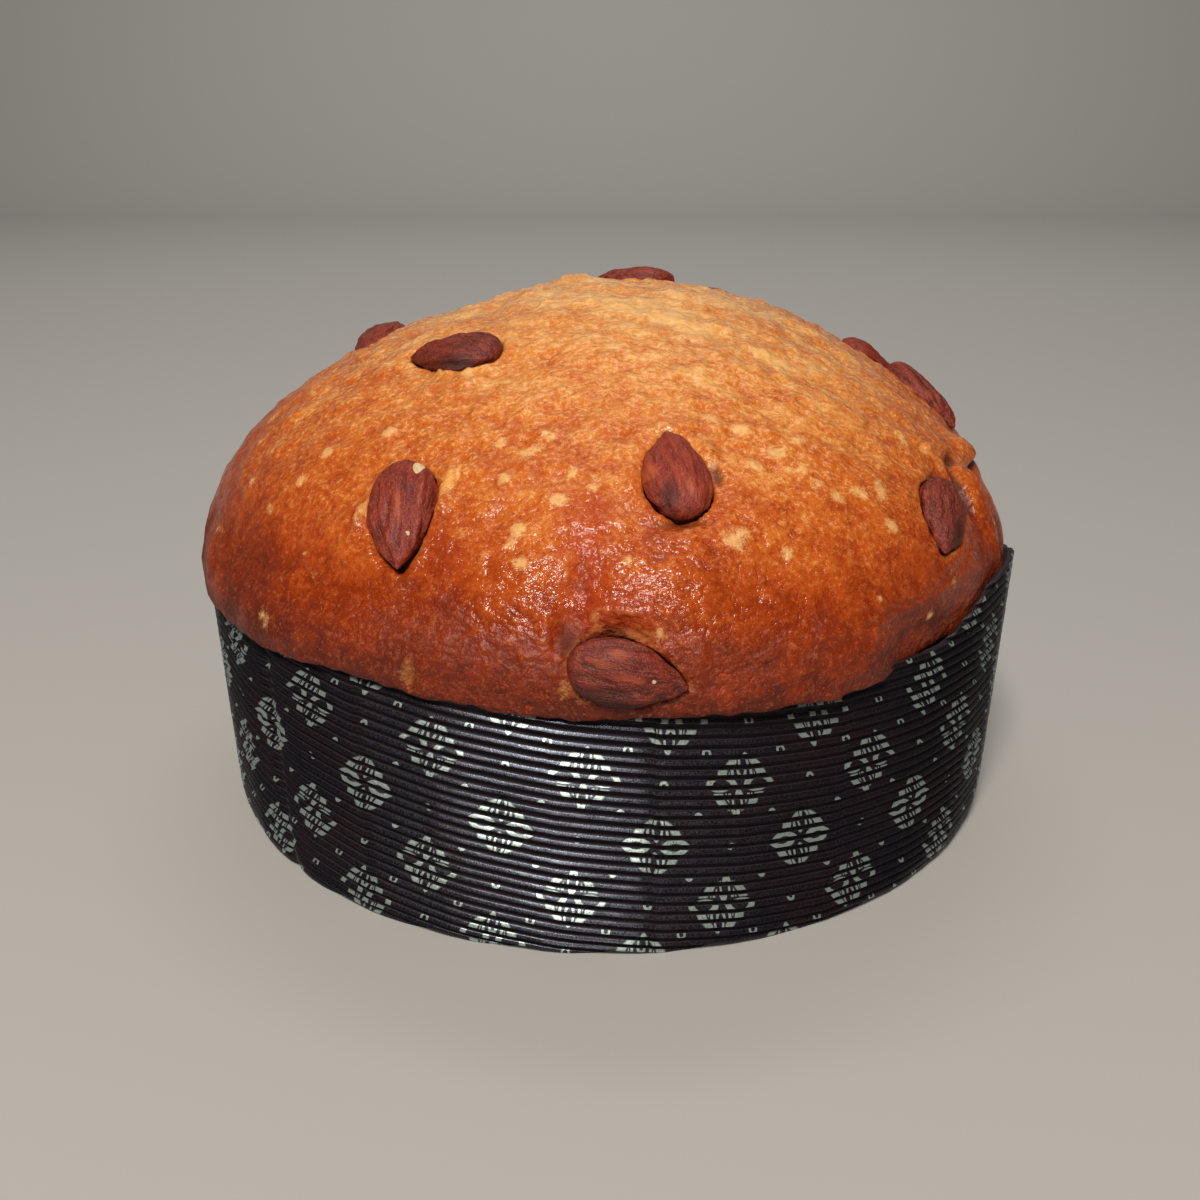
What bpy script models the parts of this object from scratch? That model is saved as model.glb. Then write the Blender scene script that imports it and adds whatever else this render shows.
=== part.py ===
"""Panettone: a domed sweet loaf with whole almonds, baked in a fluted paper case.

Metres, +Z up. The origin is the middle of the case's flat bottom, and -Y is the front.
A turn is counted from the front (-Y) towards +X, a rise from the level of the dome's centre.
"""
import bpy
import bmesh
import numpy as np
from mathutils import Matrix, Vector

# Paper case
CASE_BASE_RADIUS = 0.1000
CASE_RIM_RADIUS = 0.1019
CASE_HEIGHT = 0.0600
# The rim stands higher at the right: how much, and the turns in degrees where it climbs and falls
RIM_RISE = 0.0078
RIM_CLIMB = (43.0, 60.0)
RIM_FALL = (66.0, 90.0)
FLUTE_PITCH = 0.00231
FLUTE_DEPTH = 0.0012
PAPER_LAYERS = 0.0006
BOTTOM_THICKNESS = 0.0012
CRIMP_IN = 0.0016
CRIMP_HEIGHT = 0.0025
SLANT_RISE = 0.0118
SLANT_TURN = np.radians(32.0)
CASE_SIDES = 48

# Bread: reach of the dome from its centre at rises of 0, 22.5, 45, 67.5 and 90 degrees
DOME_CENTRE_HEIGHT = 0.0620
DOME_REACH = (0.1027, 0.0893, 0.0715, 0.0630, 0.0600)
# Lobes round the loaf: how many, their share of the reach, turn of the first one in degrees
LOBES = ((1, 0.012, 197.0), (2, 0.014, 6.0), (3, 0.0205, 25.0))
TOP_LEAN = 0.056
TOP_LEAN_TURN = 171.0
LIP_HEIGHT = 0.0590
LIP_REACH = 0.1034
LIP_FADE = (0.0, 8.0)
LIP_WAVES = ((2, 0.0008, 120.0), (5, 0.0006, 40.0), (9, 0.0004, 10.0))
BREAD_SIDES = 60
BREAD_FIRST_TURN = np.radians(1.7)
CUTTER_FIRST_TURN = np.radians(0.9)
DOME_RINGS = 22
# Above 1 the rings lie closer together near the lip
DOME_CROWDING = 1.25
GAP = 0.0003
# How far a cutter runs past what it cuts
SPARE = 0.01

# Where the crust draws in behind the paper: turn in degrees, half width, fade, depth, top rise
DRAWN_IN_TURN = 67.0
DRAWN_IN_HALF = 33.0
DRAWN_IN_FADE = 4.0
DRAWN_IN_DEPTH = 0.0036
DRAWN_IN_TOP = 8.0

# Swellings and creases: turn, rise, half size round, half size up (degrees), height in metres
RELIEF = (
    (78.0, 16.0, 3.5, 2.6, 0.0030),
    (74.0, 12.5, 3.0, 1.6, -0.0022),
    (67.0, 12.0, 2.6, 5.0, 0.0014),
    (72.0, 7.5, 2.0, 5.0, -0.0018),
    (84.0, 10.0, 3.0, 6.0, -0.0018),
    (61.0, 13.0, 2.0, 5.0, -0.0012),
    (-3.5, 9.0, 3.0, 5.0, -0.0016),
    (-12.0, 13.0, 8.0, 7.0, 0.0008),
    (7.0, 10.0, 7.0, 5.0, 0.0008),
    (-104.0, 60.0, 8.0, 6.0, -0.0020),
    (-163.0, 64.0, 6.0, 6.0, 0.0022),
    (118.0, 43.0, 12.0, 10.0, 0.0012),
    (-120.0, 33.0, 8.0, 8.0, 0.0010),
    (135.0, 22.0, 14.0, 9.0, -0.0014),
    (-150.0, 12.0, 12.0, 8.0, 0.0012),
)

# Almonds: length, width and thickness of the plain one
ALMOND_SIZE = (0.0244, 0.0144, 0.0084)
# Powers of the swell towards the round end and towards the tip, and how much flatter it is on top
ALMOND_ROUND_END = 0.55
ALMOND_TIP_END = 0.8
ALMOND_FLATTER = 0.8
ALMOND_RINGS = 9
ALMOND_SIDES = 8
# A pocket is this many gaps larger than its almond, because its facets cut its corners
POCKET_SLACK = 1.2
# Each almond: turn and rise of its place, turn of its tip from level to the right, scale, sink
ALMONDS = (
    (-59.8, 49.9, 213.0, 1.02, 0.0012),
    (-30.4, 17.7, -63.0, 1.10, 0.0004),
    (10.1, 25.8, 91.0, 0.99, 0.0004),
    (1.9, 2.7, -13.0, 0.96, 0.0001),
    (50.8, 13.4, 220.0, 0.87, 0.0006),
    (97.5, 21.6, 219.0, 1.08, 0.0005),
    (110.5, 27.6, 265.0, 0.82, 0.0010),
    (170.0, 57.0, 0.0, 0.90, 0.0002),
    (-112.5, 33.5, 10.0, 0.96, 0.0008),
    (150.0, 36.0, 250.0, 1.00, 0.0006),
    (-150.0, 27.0, 80.0, 1.02, 0.0006),
    (132.0, 11.0, 100.0, 0.97, 0.0008),
    (-126.0, 13.0, 300.0, 1.00, 0.0008),
    (176.0, 12.0, 10.0, 1.00, 0.0008),
)


def wrapped(turn):
    """Turn in radians, brought between minus half a turn and half a turn."""
    return (turn + np.pi) % (2.0 * np.pi) - np.pi


def step_up(value, low, high):
    """0 below low, 1 above high and smooth between."""
    share = np.clip((value - low) / (high - low), 0.0, 1.0)
    return share * share * (3.0 - 2.0 * share)


def dome_series():
    """Weights of cos(2k rise) whose sum passes through the five values of DOME_REACH."""
    count = len(DOME_REACH)
    rises = np.linspace(0.0, np.pi / 2.0, count)
    waves = np.cos(2.0 * np.outer(rises, np.arange(count)))
    return np.linalg.solve(waves, np.array(DOME_REACH))


DOME_WEIGHTS = dome_series()


def dome_reach(turn, rise):
    """Distance from the dome's centre to the crust.

    A sum of even cosines of the rise, times one plus the lobes round the loaf and the lean of its
    top, plus bell-shaped swellings and creases. Near the lip it reaches at least LIP_REACH, except
    where the crust is drawn in behind the paper.
    """
    plain = sum(w * np.cos(2.0 * k * rise) for k, w in enumerate(DOME_WEIGHTS))
    level = np.cos(rise)
    lobes = sum(share * level ** n * np.cos(n * (turn - np.radians(first))) for n, share, first in LOBES)
    lean = TOP_LEAN * np.cos(turn - np.radians(TOP_LEAN_TURN)) * np.sin(2.0 * rise)
    reach = plain * (1.0 + lobes + lean)
    low = 1.0 - step_up(np.degrees(rise), *LIP_FADE)
    reach = reach + low * np.maximum(LIP_REACH - reach, 0.0)
    for at_turn, at_rise, round_half, up_half, height in RELIEF:
        across = wrapped(turn - np.radians(at_turn)) * level / np.radians(round_half)
        along = (rise - np.radians(at_rise)) / np.radians(up_half)
        reach = reach + height * np.exp(-across ** 2 - along ** 2)
    off = np.degrees(np.abs(wrapped(turn - np.radians(DRAWN_IN_TURN))))
    beside = 1.0 - step_up(off, DRAWN_IN_HALF - DRAWN_IN_FADE, DRAWN_IN_HALF + DRAWN_IN_FADE)
    below = 1.0 - step_up(np.degrees(rise), 0.0, DRAWN_IN_TOP)
    return reach - DRAWN_IN_DEPTH * beside * below


def dome_point(turn, rise):
    """Point of the crust at a turn and a rise, as an array whose last axis is x, y, z."""
    reach = dome_reach(turn, rise)
    level = reach * np.cos(rise)
    height = DOME_CENTRE_HEIGHT + reach * np.sin(rise)
    return np.stack([level * np.sin(turn), -level * np.cos(turn), height], axis=-1)


def rim_height(turn):
    """Height of the rim: level, with one long rise at the right."""
    degrees = np.degrees(wrapped(turn))
    return CASE_HEIGHT + RIM_RISE * (step_up(degrees, *RIM_CLIMB) - step_up(degrees, *RIM_FALL))


def wall_radius(height):
    """Radius of the case: a straight flare, drawn in where its bottom is crimped."""
    flare = (CASE_RIM_RADIUS - CASE_BASE_RADIUS) * height / CASE_HEIGHT
    return CASE_BASE_RADIUS + flare - CRIMP_IN * np.exp(-np.maximum(height, 0.0) / CRIMP_HEIGHT)


def lining_profile(gap, top):
    """Radius and height of the case's smooth lining, from the bottom sheet up, less a gap."""
    depth = FLUTE_DEPTH + PAPER_LAYERS + gap
    heights = (BOTTOM_THICKNESS, 2.0 * CRIMP_HEIGHT, top)
    return [(wall_radius(height) - depth, height) for height in heights]


def ring_turns(sides, first=0.0):
    """Turns of the corners of a ring."""
    return first + np.arange(sides) * 2.0 * np.pi / sides


def skin(rings, closed_ends=True):
    """Triangles and quads over rings of points, each ring with the same count of corners."""
    count = len(rings)
    sides = len(rings[0])
    points = [tuple(p) for ring in rings for p in ring]
    faces = []
    for row in range(count - 1):
        for side in range(sides):
            after = (side + 1) % sides
            low = row * sides
            high = low + sides
            faces.append((low + side, low + after, high + after, high + side))
    if closed_ends:
        for row, flip in ((0, True), (count - 1, False)):
            middle = len(points)
            points.append(tuple(np.mean(rings[row], axis=0)))
            for side in range(sides):
                after = (side + 1) % sides
                ends = (row * sides + side, row * sides + after)
                faces.append((ends[1], ends[0], middle) if flip else (ends[0], ends[1], middle))
    return points, faces


def material(name, colour, roughness, metallic=0.0):
    """A plain Principled finish."""
    made = bpy.data.materials.new(name)
    made.use_nodes = True
    shader = made.node_tree.nodes["Principled BSDF"]
    shader.inputs["Base Color"].default_value = (*colour, 1.0)
    shader.inputs["Roughness"].default_value = roughness
    shader.inputs["Metallic"].default_value = metallic
    return made


def mesh_object(name, points, faces, finish=None):
    """A named object from points and faces, its faces turned outwards and shaded smooth."""
    mesh = bpy.data.meshes.new(name)
    mesh.from_pydata(points, [], faces)
    shape = bmesh.new()
    shape.from_mesh(mesh)
    bmesh.ops.recalc_face_normals(shape, faces=shape.faces)
    shape.to_mesh(mesh)
    shape.free()
    mesh.shade_smooth()
    made = bpy.data.objects.new(name, mesh)
    bpy.context.scene.collection.objects.link(made)
    if finish is not None:
        mesh.materials.append(finish)
    return made


def as_cutter(thing):
    """Marks an object as a cutter, which is no part of the model."""
    thing.hide_render = True
    thing.display_type = "WIRE"
    return thing


def cut_away(thing, cutter):
    """An exact Boolean difference with one object or with all the objects of a collection."""
    cut = thing.modifiers.new("cut_" + cutter.name, "BOOLEAN")
    cut.operation = "DIFFERENCE"
    cut.solver = "EXACT"
    if isinstance(cutter, bpy.types.Collection):
        cut.operand_type = "COLLECTION"
        cut.collection = cutter
    else:
        cut.object = cutter


def ring(turns, radius, height):
    """Corners of a ring about the vertical axis; radius and height may vary round it."""
    level = np.broadcast_to(height, turns.shape)
    return np.stack([radius * np.sin(turns), -radius * np.cos(turns), level], axis=-1)


def fluted_block():
    """A solid block with the case's outside: rings at every crest and valley of the slanted flutes.

    A flute lies in a plane that tips by SLANT_RISE over the case's radius. The block is made too
    tall and too deep, and is then trimmed level at the bottom and just above the rim.
    """
    turns = ring_turns(CASE_SIDES)
    tip = SLANT_RISE * np.sin(turns + SLANT_TURN)
    half = FLUTE_PITCH / 2.0
    top = CASE_HEIGHT + RIM_RISE + FLUTE_PITCH
    first = -int(SLANT_RISE / half) - 2
    last = int((top + SLANT_RISE) / half) + 3
    rings = []
    for row in range(first, last):
        height = row * half - tip
        rings.append(ring(turns, wall_radius(height) - (FLUTE_DEPTH if row % 2 else 0.0), height))
    points, faces = skin(rings)
    block = mesh_object("paper_case", points, faces)
    shape = bmesh.new()
    shape.from_mesh(block.data)
    for level, side in ((0.0, -1.0), (top, 1.0)):
        parts = shape.verts[:] + shape.edges[:] + shape.faces[:]
        bmesh.ops.bisect_plane(
            shape, geom=parts, dist=1e-7, plane_co=(0.0, 0.0, level), plane_no=(0.0, 0.0, side),
            clear_outer=True)
        open_edges = [edge for edge in shape.edges if edge.is_boundary]
        bmesh.ops.contextual_create(shape, geom=open_edges)
    bmesh.ops.recalc_face_normals(shape, faces=shape.faces)
    shape.to_mesh(block.data)
    shape.free()
    return block


def make_case(finish):
    """The paper case: the fluted block, hollowed down to its bottom sheet and cut to its rim."""
    case = fluted_block()
    case.data.materials.append(finish)
    turns = ring_turns(CASE_SIDES)
    profile = lining_profile(0.0, CASE_HEIGHT + SPARE)
    points, faces = skin([ring(turns, radius, height) for radius, height in profile])
    cut_away(case, as_cutter(mesh_object("case_hollow_cutter", points, faces)))

    turns = ring_turns(CASE_SIDES, CUTTER_FIRST_TURN)
    wide = CASE_RIM_RADIUS + SPARE
    low = rim_height(turns)
    points, faces = skin([ring(turns, wide, low), ring(turns, wide, CASE_HEIGHT + 2.0 * SPARE)])
    cut_away(case, as_cutter(mesh_object("case_rim_cutter", points, faces)))
    return case


def lip_rise(turn):
    """Rise at which the crust ends over the paper: nearly level, with slow waves."""
    waves = sum(size * np.cos(n * (turn - np.radians(first))) for n, size, first in LIP_WAVES)
    return np.arcsin((LIP_HEIGHT + waves - DOME_CENTRE_HEIGHT) / DOME_REACH[0])


def make_bread(finish):
    """The loaf: the dome down to its lip, over a plug that fills the case.

    A cutter with the shape of the case's wall, a gap larger all round, parts the plug from the
    lining and leaves the lip hanging over the rim.
    """
    turns = ring_turns(BREAD_SIDES, BREAD_FIRST_TURN)
    low = lip_rise(turns)
    wall_middle = wall_radius(CASE_HEIGHT) - FLUTE_DEPTH
    lip_level = dome_point(turns, low)[:, 2]
    rings = [ring(turns, wall_middle, BOTTOM_THICKNESS + GAP), ring(turns, wall_middle, lip_level - GAP)]
    for share in np.linspace(0.0, 1.0, DOME_RINGS + 1)[:-1] ** DOME_CROWDING:
        rings.append(dome_point(turns, low + (np.pi / 2.0 - low) * share))
    points, faces = skin(rings)
    points[-1] = tuple(dome_point(np.array(0.0), np.array(np.pi / 2.0)))
    bread = mesh_object("bread", points, faces, finish)

    turns = ring_turns(CASE_SIDES)
    top = rim_height(turns) + GAP
    outside = wall_radius(CASE_HEIGHT + RIM_RISE) + GAP
    lining = lining_profile(GAP, CASE_HEIGHT)
    rings = [ring(turns, lining[0][0], -SPARE)]
    rings += [ring(turns, radius, height) for radius, height in lining[:-1]]
    rings += [ring(turns, wall_radius(top) - FLUTE_DEPTH - PAPER_LAYERS - GAP, top)]
    rings += [ring(turns, outside, top), ring(turns, outside, -SPARE)]
    count = CASE_SIDES * len(rings)
    points, faces = skin(rings + rings[:1], closed_ends=False)
    faces = [tuple(corner % count for corner in face) for face in faces]
    cut_away(bread, as_cutter(mesh_object("case_wall_cutter", points[:count], faces)))
    return bread


def almond_mesh_rings(grow):
    """Rings of an almond lying along +X, its tip at +X and its flat side down along Z.

    The width at a share s of the length goes as s to the power ALMOND_ROUND_END times (1 - s) to
    the power ALMOND_TIP_END, so one end is round and the other comes to a blunt point.
    """
    length, width, thickness = (size + 2.0 * grow for size in ALMOND_SIZE)
    steps = (1.0 - np.cos(np.linspace(0.0, np.pi, ALMOND_RINGS + 2)[1:-1])) / 2.0
    widest = ALMOND_ROUND_END / (ALMOND_ROUND_END + ALMOND_TIP_END)
    peak = widest ** ALMOND_ROUND_END * (1.0 - widest) ** ALMOND_TIP_END
    turns = ring_turns(ALMOND_SIDES)
    rings = []
    for share in steps:
        swell = share ** ALMOND_ROUND_END * (1.0 - share) ** ALMOND_TIP_END / peak
        x = np.full(ALMOND_SIDES, (share - 0.5) * length)
        y = 0.5 * width * swell * np.cos(turns)
        z = 0.5 * thickness * swell ** ALMOND_FLATTER * np.sin(turns)
        rings.append(np.stack([x, y, z], axis=-1))
    return rings, length


def almond(name, grow=0.0, finish=None):
    """An almond, or with grow above zero the cutter of its pocket."""
    rings, length = almond_mesh_rings(grow)
    points, faces = skin(rings)
    points[-2] = (-0.5 * length, 0.0, 0.0)
    points[-1] = (0.5 * length, 0.0, 0.0)
    return mesh_object(name, points, faces, finish)


def crust_frame(turn, rise, tip_turn, sink, scale):
    """Placement on the crust: Z along its outward normal, X towards the almond's tip."""
    turn = np.radians(turn)
    rise = np.radians(rise)
    small = 1e-3
    right = Vector(dome_point(turn + small, rise) - dome_point(turn - small, rise)).normalized()
    up = Vector(dome_point(turn, rise + small) - dome_point(turn, rise - small))
    normal = right.cross(up).normalized()
    up = normal.cross(right)
    along = right * np.cos(np.radians(tip_turn)) + up * np.sin(np.radians(tip_turn))
    across = normal.cross(along)
    place = Vector(dome_point(turn, rise)) - normal * sink
    axes = Matrix((along, across, normal)).transposed().to_4x4()
    return Matrix.Translation(place) @ axes @ Matrix.Scale(scale, 4)


def make_almonds(bread, finish):
    """The almonds, each in a pocket cut into the bread a gap larger than itself."""
    pockets = bpy.data.collections.new("almond_pockets")
    bpy.context.scene.collection.children.link(pockets)
    for number, (turn, rise, tip_turn, scale, sink) in enumerate(ALMONDS, 1):
        place = crust_frame(turn, rise, tip_turn, sink, scale)
        nut = almond("almond_%02d" % number, finish=finish)
        nut.matrix_world = place
        pocket = as_cutter(almond("almond_pocket_%02d" % number, grow=POCKET_SLACK * GAP))
        pocket.matrix_world = place
        bpy.context.scene.collection.objects.unlink(pocket)
        pockets.objects.link(pocket)
    cut_away(bread, pockets)


def main():
    for thing in list(bpy.data.objects):
        bpy.data.objects.remove(thing, do_unlink=True)
    crust = material("baked_crust", (0.52, 0.17, 0.045), 0.42)
    paper = material("dark_fluted_paper", (0.020, 0.009, 0.012), 0.45)
    nut_skin = material("almond_skin", (0.21, 0.055, 0.035), 0.55)
    make_case(paper)
    make_almonds(make_bread(crust), nut_skin)


main()
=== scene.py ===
"""Looks of the panettone: browned crust, whole almonds and the printed, fluted paper case.

Metres, +Z up, the origin in the middle of the case's flat bottom, -Y towards the front. A turn is
counted from the front towards +X, a rise from the level of the dome's centre.
"""

from functools import partial

import bmesh
import bpy
import numpy as np
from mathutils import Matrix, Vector


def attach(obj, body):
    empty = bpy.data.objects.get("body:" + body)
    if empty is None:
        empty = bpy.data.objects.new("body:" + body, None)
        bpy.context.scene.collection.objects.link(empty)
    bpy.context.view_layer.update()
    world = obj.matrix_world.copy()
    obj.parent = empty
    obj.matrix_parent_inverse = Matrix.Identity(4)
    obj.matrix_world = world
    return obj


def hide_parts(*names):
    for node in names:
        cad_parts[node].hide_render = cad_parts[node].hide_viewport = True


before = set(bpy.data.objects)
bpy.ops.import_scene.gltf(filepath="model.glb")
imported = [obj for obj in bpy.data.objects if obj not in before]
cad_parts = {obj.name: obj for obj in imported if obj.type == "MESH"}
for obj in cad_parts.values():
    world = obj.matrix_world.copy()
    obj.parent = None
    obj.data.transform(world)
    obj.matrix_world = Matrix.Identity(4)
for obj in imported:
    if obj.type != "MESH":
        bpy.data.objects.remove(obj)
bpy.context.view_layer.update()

MM = 0.001

# The case's form, as in the solids
CASE_BASE_RADIUS = 0.1000
CASE_RIM_RADIUS = 0.1019
CASE_HEIGHT = 0.0600
RIM_RISE = 0.0078
RIM_CLIMB = (43.0, 60.0)
RIM_FALL = (66.0, 90.0)
FLUTE_PITCH = 0.00231
FLUTE_DEPTH = 0.0012
PAPER_LAYERS = 0.0006
BOTTOM_THICKNESS = 0.0012
CRIMP_IN = 0.0016
CRIMP_HEIGHT = 0.0025
SLANT_RISE = 0.0118
SLANT_TURN = np.radians(32.0)

# The loaf's form, as in the solids
DOME_CENTRE_HEIGHT = 0.0620
DOME_REACH = (0.1027, 0.0893, 0.0715, 0.0630, 0.0600)
LOBES = ((1, 0.012, 197.0), (2, 0.014, 6.0), (3, 0.0205, 25.0))
TOP_LEAN = 0.056
TOP_LEAN_TURN = 171.0
LIP_HEIGHT = 0.0590
LIP_REACH = 0.1034
LIP_FADE = (0.0, 8.0)
LIP_WAVES = ((2, 0.0008, 120.0), (5, 0.0006, 40.0), (9, 0.0004, 10.0))
GAP = 0.0003
DRAWN_IN_TURN = 67.0
DRAWN_IN_HALF = 33.0
DRAWN_IN_FADE = 4.0
DRAWN_IN_DEPTH = 0.0036
DRAWN_IN_TOP = 8.0
# Swellings and creases: turn, rise, half size round, half size up (degrees), height in metres
RELIEF = (
    (78.0, 16.0, 3.5, 2.6, 0.0030),
    (74.0, 12.5, 3.0, 1.6, -0.0022),
    (67.0, 12.0, 2.6, 5.0, 0.0014),
    (72.0, 7.5, 2.0, 5.0, -0.0018),
    (84.0, 10.0, 3.0, 6.0, -0.0018),
    (61.0, 13.0, 2.0, 5.0, -0.0012),
    (-3.5, 9.0, 3.0, 5.0, -0.0016),
    (-12.0, 13.0, 8.0, 7.0, 0.0008),
    (7.0, 10.0, 7.0, 5.0, 0.0008),
    (-104.0, 60.0, 8.0, 6.0, -0.0020),
    (-163.0, 64.0, 6.0, 6.0, 0.0022),
    (118.0, 43.0, 12.0, 10.0, 0.0012),
    (-120.0, 33.0, 8.0, 8.0, 0.0010),
    (135.0, 22.0, 14.0, 9.0, -0.0014),
    (-150.0, 12.0, 12.0, 8.0, 0.0012),
)

# The almonds, as in the solids: turn, rise, turn of the tip, scale, sink
ALMOND_SIZE = (0.0244, 0.0144, 0.0084)
ALMOND_ROUND_END = 0.52
ALMOND_TIP_END = 0.84
ALMOND_FLATTER = 0.8
ALMONDS = (
    (-59.8, 49.9, 213.0, 1.02, 0.0012),
    (-30.4, 17.7, -63.0, 1.10, 0.0004),
    (10.1, 25.8, 91.0, 0.99, 0.0004),
    (1.9, 2.7, -13.0, 0.96, 0.0001),
    (50.8, 13.4, 220.0, 0.87, 0.0006),
    (97.5, 21.6, 219.0, 1.08, 0.0005),
    (110.5, 27.6, 265.0, 0.82, 0.0010),
    (170.0, 57.0, 0.0, 0.90, 0.0002),
    (-112.5, 33.5, 10.0, 0.96, 0.0008),
    (150.0, 36.0, 250.0, 1.00, 0.0006),
    (-150.0, 27.0, 80.0, 1.02, 0.0006),
    (132.0, 11.0, 100.0, 0.97, 0.0008),
    (-126.0, 13.0, 300.0, 1.00, 0.0008),
    (176.0, 12.0, 10.0, 1.00, 0.0008),
)
# How dark each almond is toasted, 0 light to 1 dark
TOAST = (0.84, 0.50, 0.28, 0.86, 0.84, 0.75, 0.5, 0.7, 0.6, 0.5, 0.65, 0.4, 0.55, 0.6)
# Spots on the almonds: number, share of the length from the round end, share of the half width,
# half length and half width of the spot in mm
CHIPS = (
    (2, 0.14, 0.62, 2.3, 0.9),
    (2, 0.45, -1.00, 3.2, 1.0),
    (2, 0.76, 0.42, 0.5, 0.4),
    (4, 0.70, 0.10, 0.6, 0.4),
    (9, 0.30, -0.50, 2.0, 1.2),
    (12, 0.25, 0.70, 1.6, 0.9),
)
# Dark patches, listed as the chips; the long one along almond 4's lower edge is painted shade
STAINS_AND_SHADE = (
    (3, 0.14, 0.45, 3.0, 1.8),
    (4, 0.45, -1.05, 12.0, 4.2),
    (5, 0.75, 0.30, 4.0, 3.0),
    (1, 0.35, 0.90, 6.0, 1.5),
)
RUSTS = (
    (4, 0.24, 0.30, 2.8, 1.0), (4, 0.38, 0.62, 2.2, 0.8), (4, 0.50, 0.05, 3.4, 0.8),
    (3, 0.42, 0.80, 2.0, 1.3), (3, 0.20, -0.15, 2.2, 0.6), (2, 0.55, 0.20, 4.0, 0.7),
    (10, 0.40, 0.30, 3.0, 1.0), (13, 0.50, -0.20, 3.0, 0.9),
)
# An almond's mesh: rings along it and points round it
ALMOND_RINGS = 72
ALMOND_SIDES = 72
OUTLINE_POINTS = 120
# Its grooves, swells and streaks: wavelength in mm, stretch along the nut, height in mm, seed
ALMOND_WAVES = ((1.9, 0.16, 0.17, 40), (7.0, 0.5, 0.20, 60), (0.75, 0.3, 0.05, 100))
ALMOND_INSET = 0.00020

# The crust's mesh: circles from the top to the lip, and how much it lies inside the solid's corners
CRUST_CIRCLES = 150
CRUST_INSET = 0.00028
# Its fine relief: wavelength, height low down and growth towards the top, all in mm, and seed
CRUST_WAVES = ((11.0, 0.08, 0.14, 2), (4.6, 0.04, 0.10, 3), (2.4, 0.02, 0.05, 4))
# Round each almond: how far its pocket reaches, how deep it goes below the almond's middle, the
# drop beside the almond, and the height, place and half width of the raised crust round it
POCKET_REACH = 0.024
POCKET_CLEAR = 0.0007
POCKET_DROP = 0.00025
COLLAR_HEIGHT = 0.00055
COLLAR_PLACE = 0.0019
COLLAR_HALF = 0.0011
# The lip's unevenness: height and wavelength in mm, and seed; how far its edge turns in and down
LIP_UNEVEN = ((0.40, 16.0, 21), (0.14, 5.0, 22))
LIP_TURNED_IN = 0.00045
LIP_TURNED_DOWN = 0.0005
# The depth at which a fold's painted shade is full, and the height that counts as fully pale
FOLD_SHADE_DEPTH = 0.0016
FOLD_PALE = 0.0018
# Where the crust is drawn in: its play in the lining, and its swelling over the rim and beside it
DRAWN_IN_PLAY = 0.0002
SWELLING_RISE = 0.0045
SWELLING_OVER = 0.0034
SWELLING_BESIDE = 0.0040

# Pale blisters: turn, rise, half size in mm
BLISTERS = (
    (-14.0, 29.5, 2.0), (-7.1, 21.8, 2.0), (-11.9, 18.2, 1.7), (-10.1, 14.0, 1.7),
    (-16.4, 24.7, 1.6), (24.8, 33.0, 2.2), (22.7, 25.7, 1.8), (15.9, 17.3, 2.1),
    (40.8, 19.1, 2.0), (38.5, 14.8, 1.7), (22.1, 14.4, 1.3), (-45.2, 2.5, 1.3),
    (41.3, 3.1, 1.0), (-44.7, 28.3, 1.6), (-53.1, 23.3, 1.6), (-53.3, 18.1, 1.4),
    (-20.5, 31.0, 1.4), (-12.3, 32.6, 1.5), (-5.5, 26.3, 1.4), (27.7, 27.6, 2.0),
    (31.6, 22.1, 2.1), (32.7, 19.1, 1.6), (29.5, 24.0, 1.6), (37.8, 19.3, 1.8),
    (57.3, 23.8, 1.6), (20.5, 36.0, 1.9), (-3.0, 23.3, 1.3), (33.5, 29.0, 1.8),
)
LOOSE_BLISTERS = 130
# Reddish, more deeply baked places: turn, rise, half sizes round and up in mm, strength
FLUSHES = (
    (-3.2, 17.0, 3.5, 9.0, 1.0), (35.4, 56.5, 7.0, 5.0, 0.45), (-1.0, 9.5, 6.0, 4.0, 0.8),
    (12.0, 20.5, 7.0, 3.5, 0.25), (-20.0, 14.0, 6.0, 5.0, 0.35), (-38.0, 40.0, 6.0, 3.0, 0.3),
    (5.0, 36.0, 9.0, 3.0, 0.3), (25.0, 8.0, 10.0, 3.0, 0.15), (-45.0, 12.0, 8.0, 4.0, 0.3),
    (-95.0, 20.0, 9.0, 6.0, 0.5), (120.0, 30.0, 8.0, 8.0, 0.4), (-160.0, 35.0, 8.0, 6.0, 0.4),
)
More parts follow.
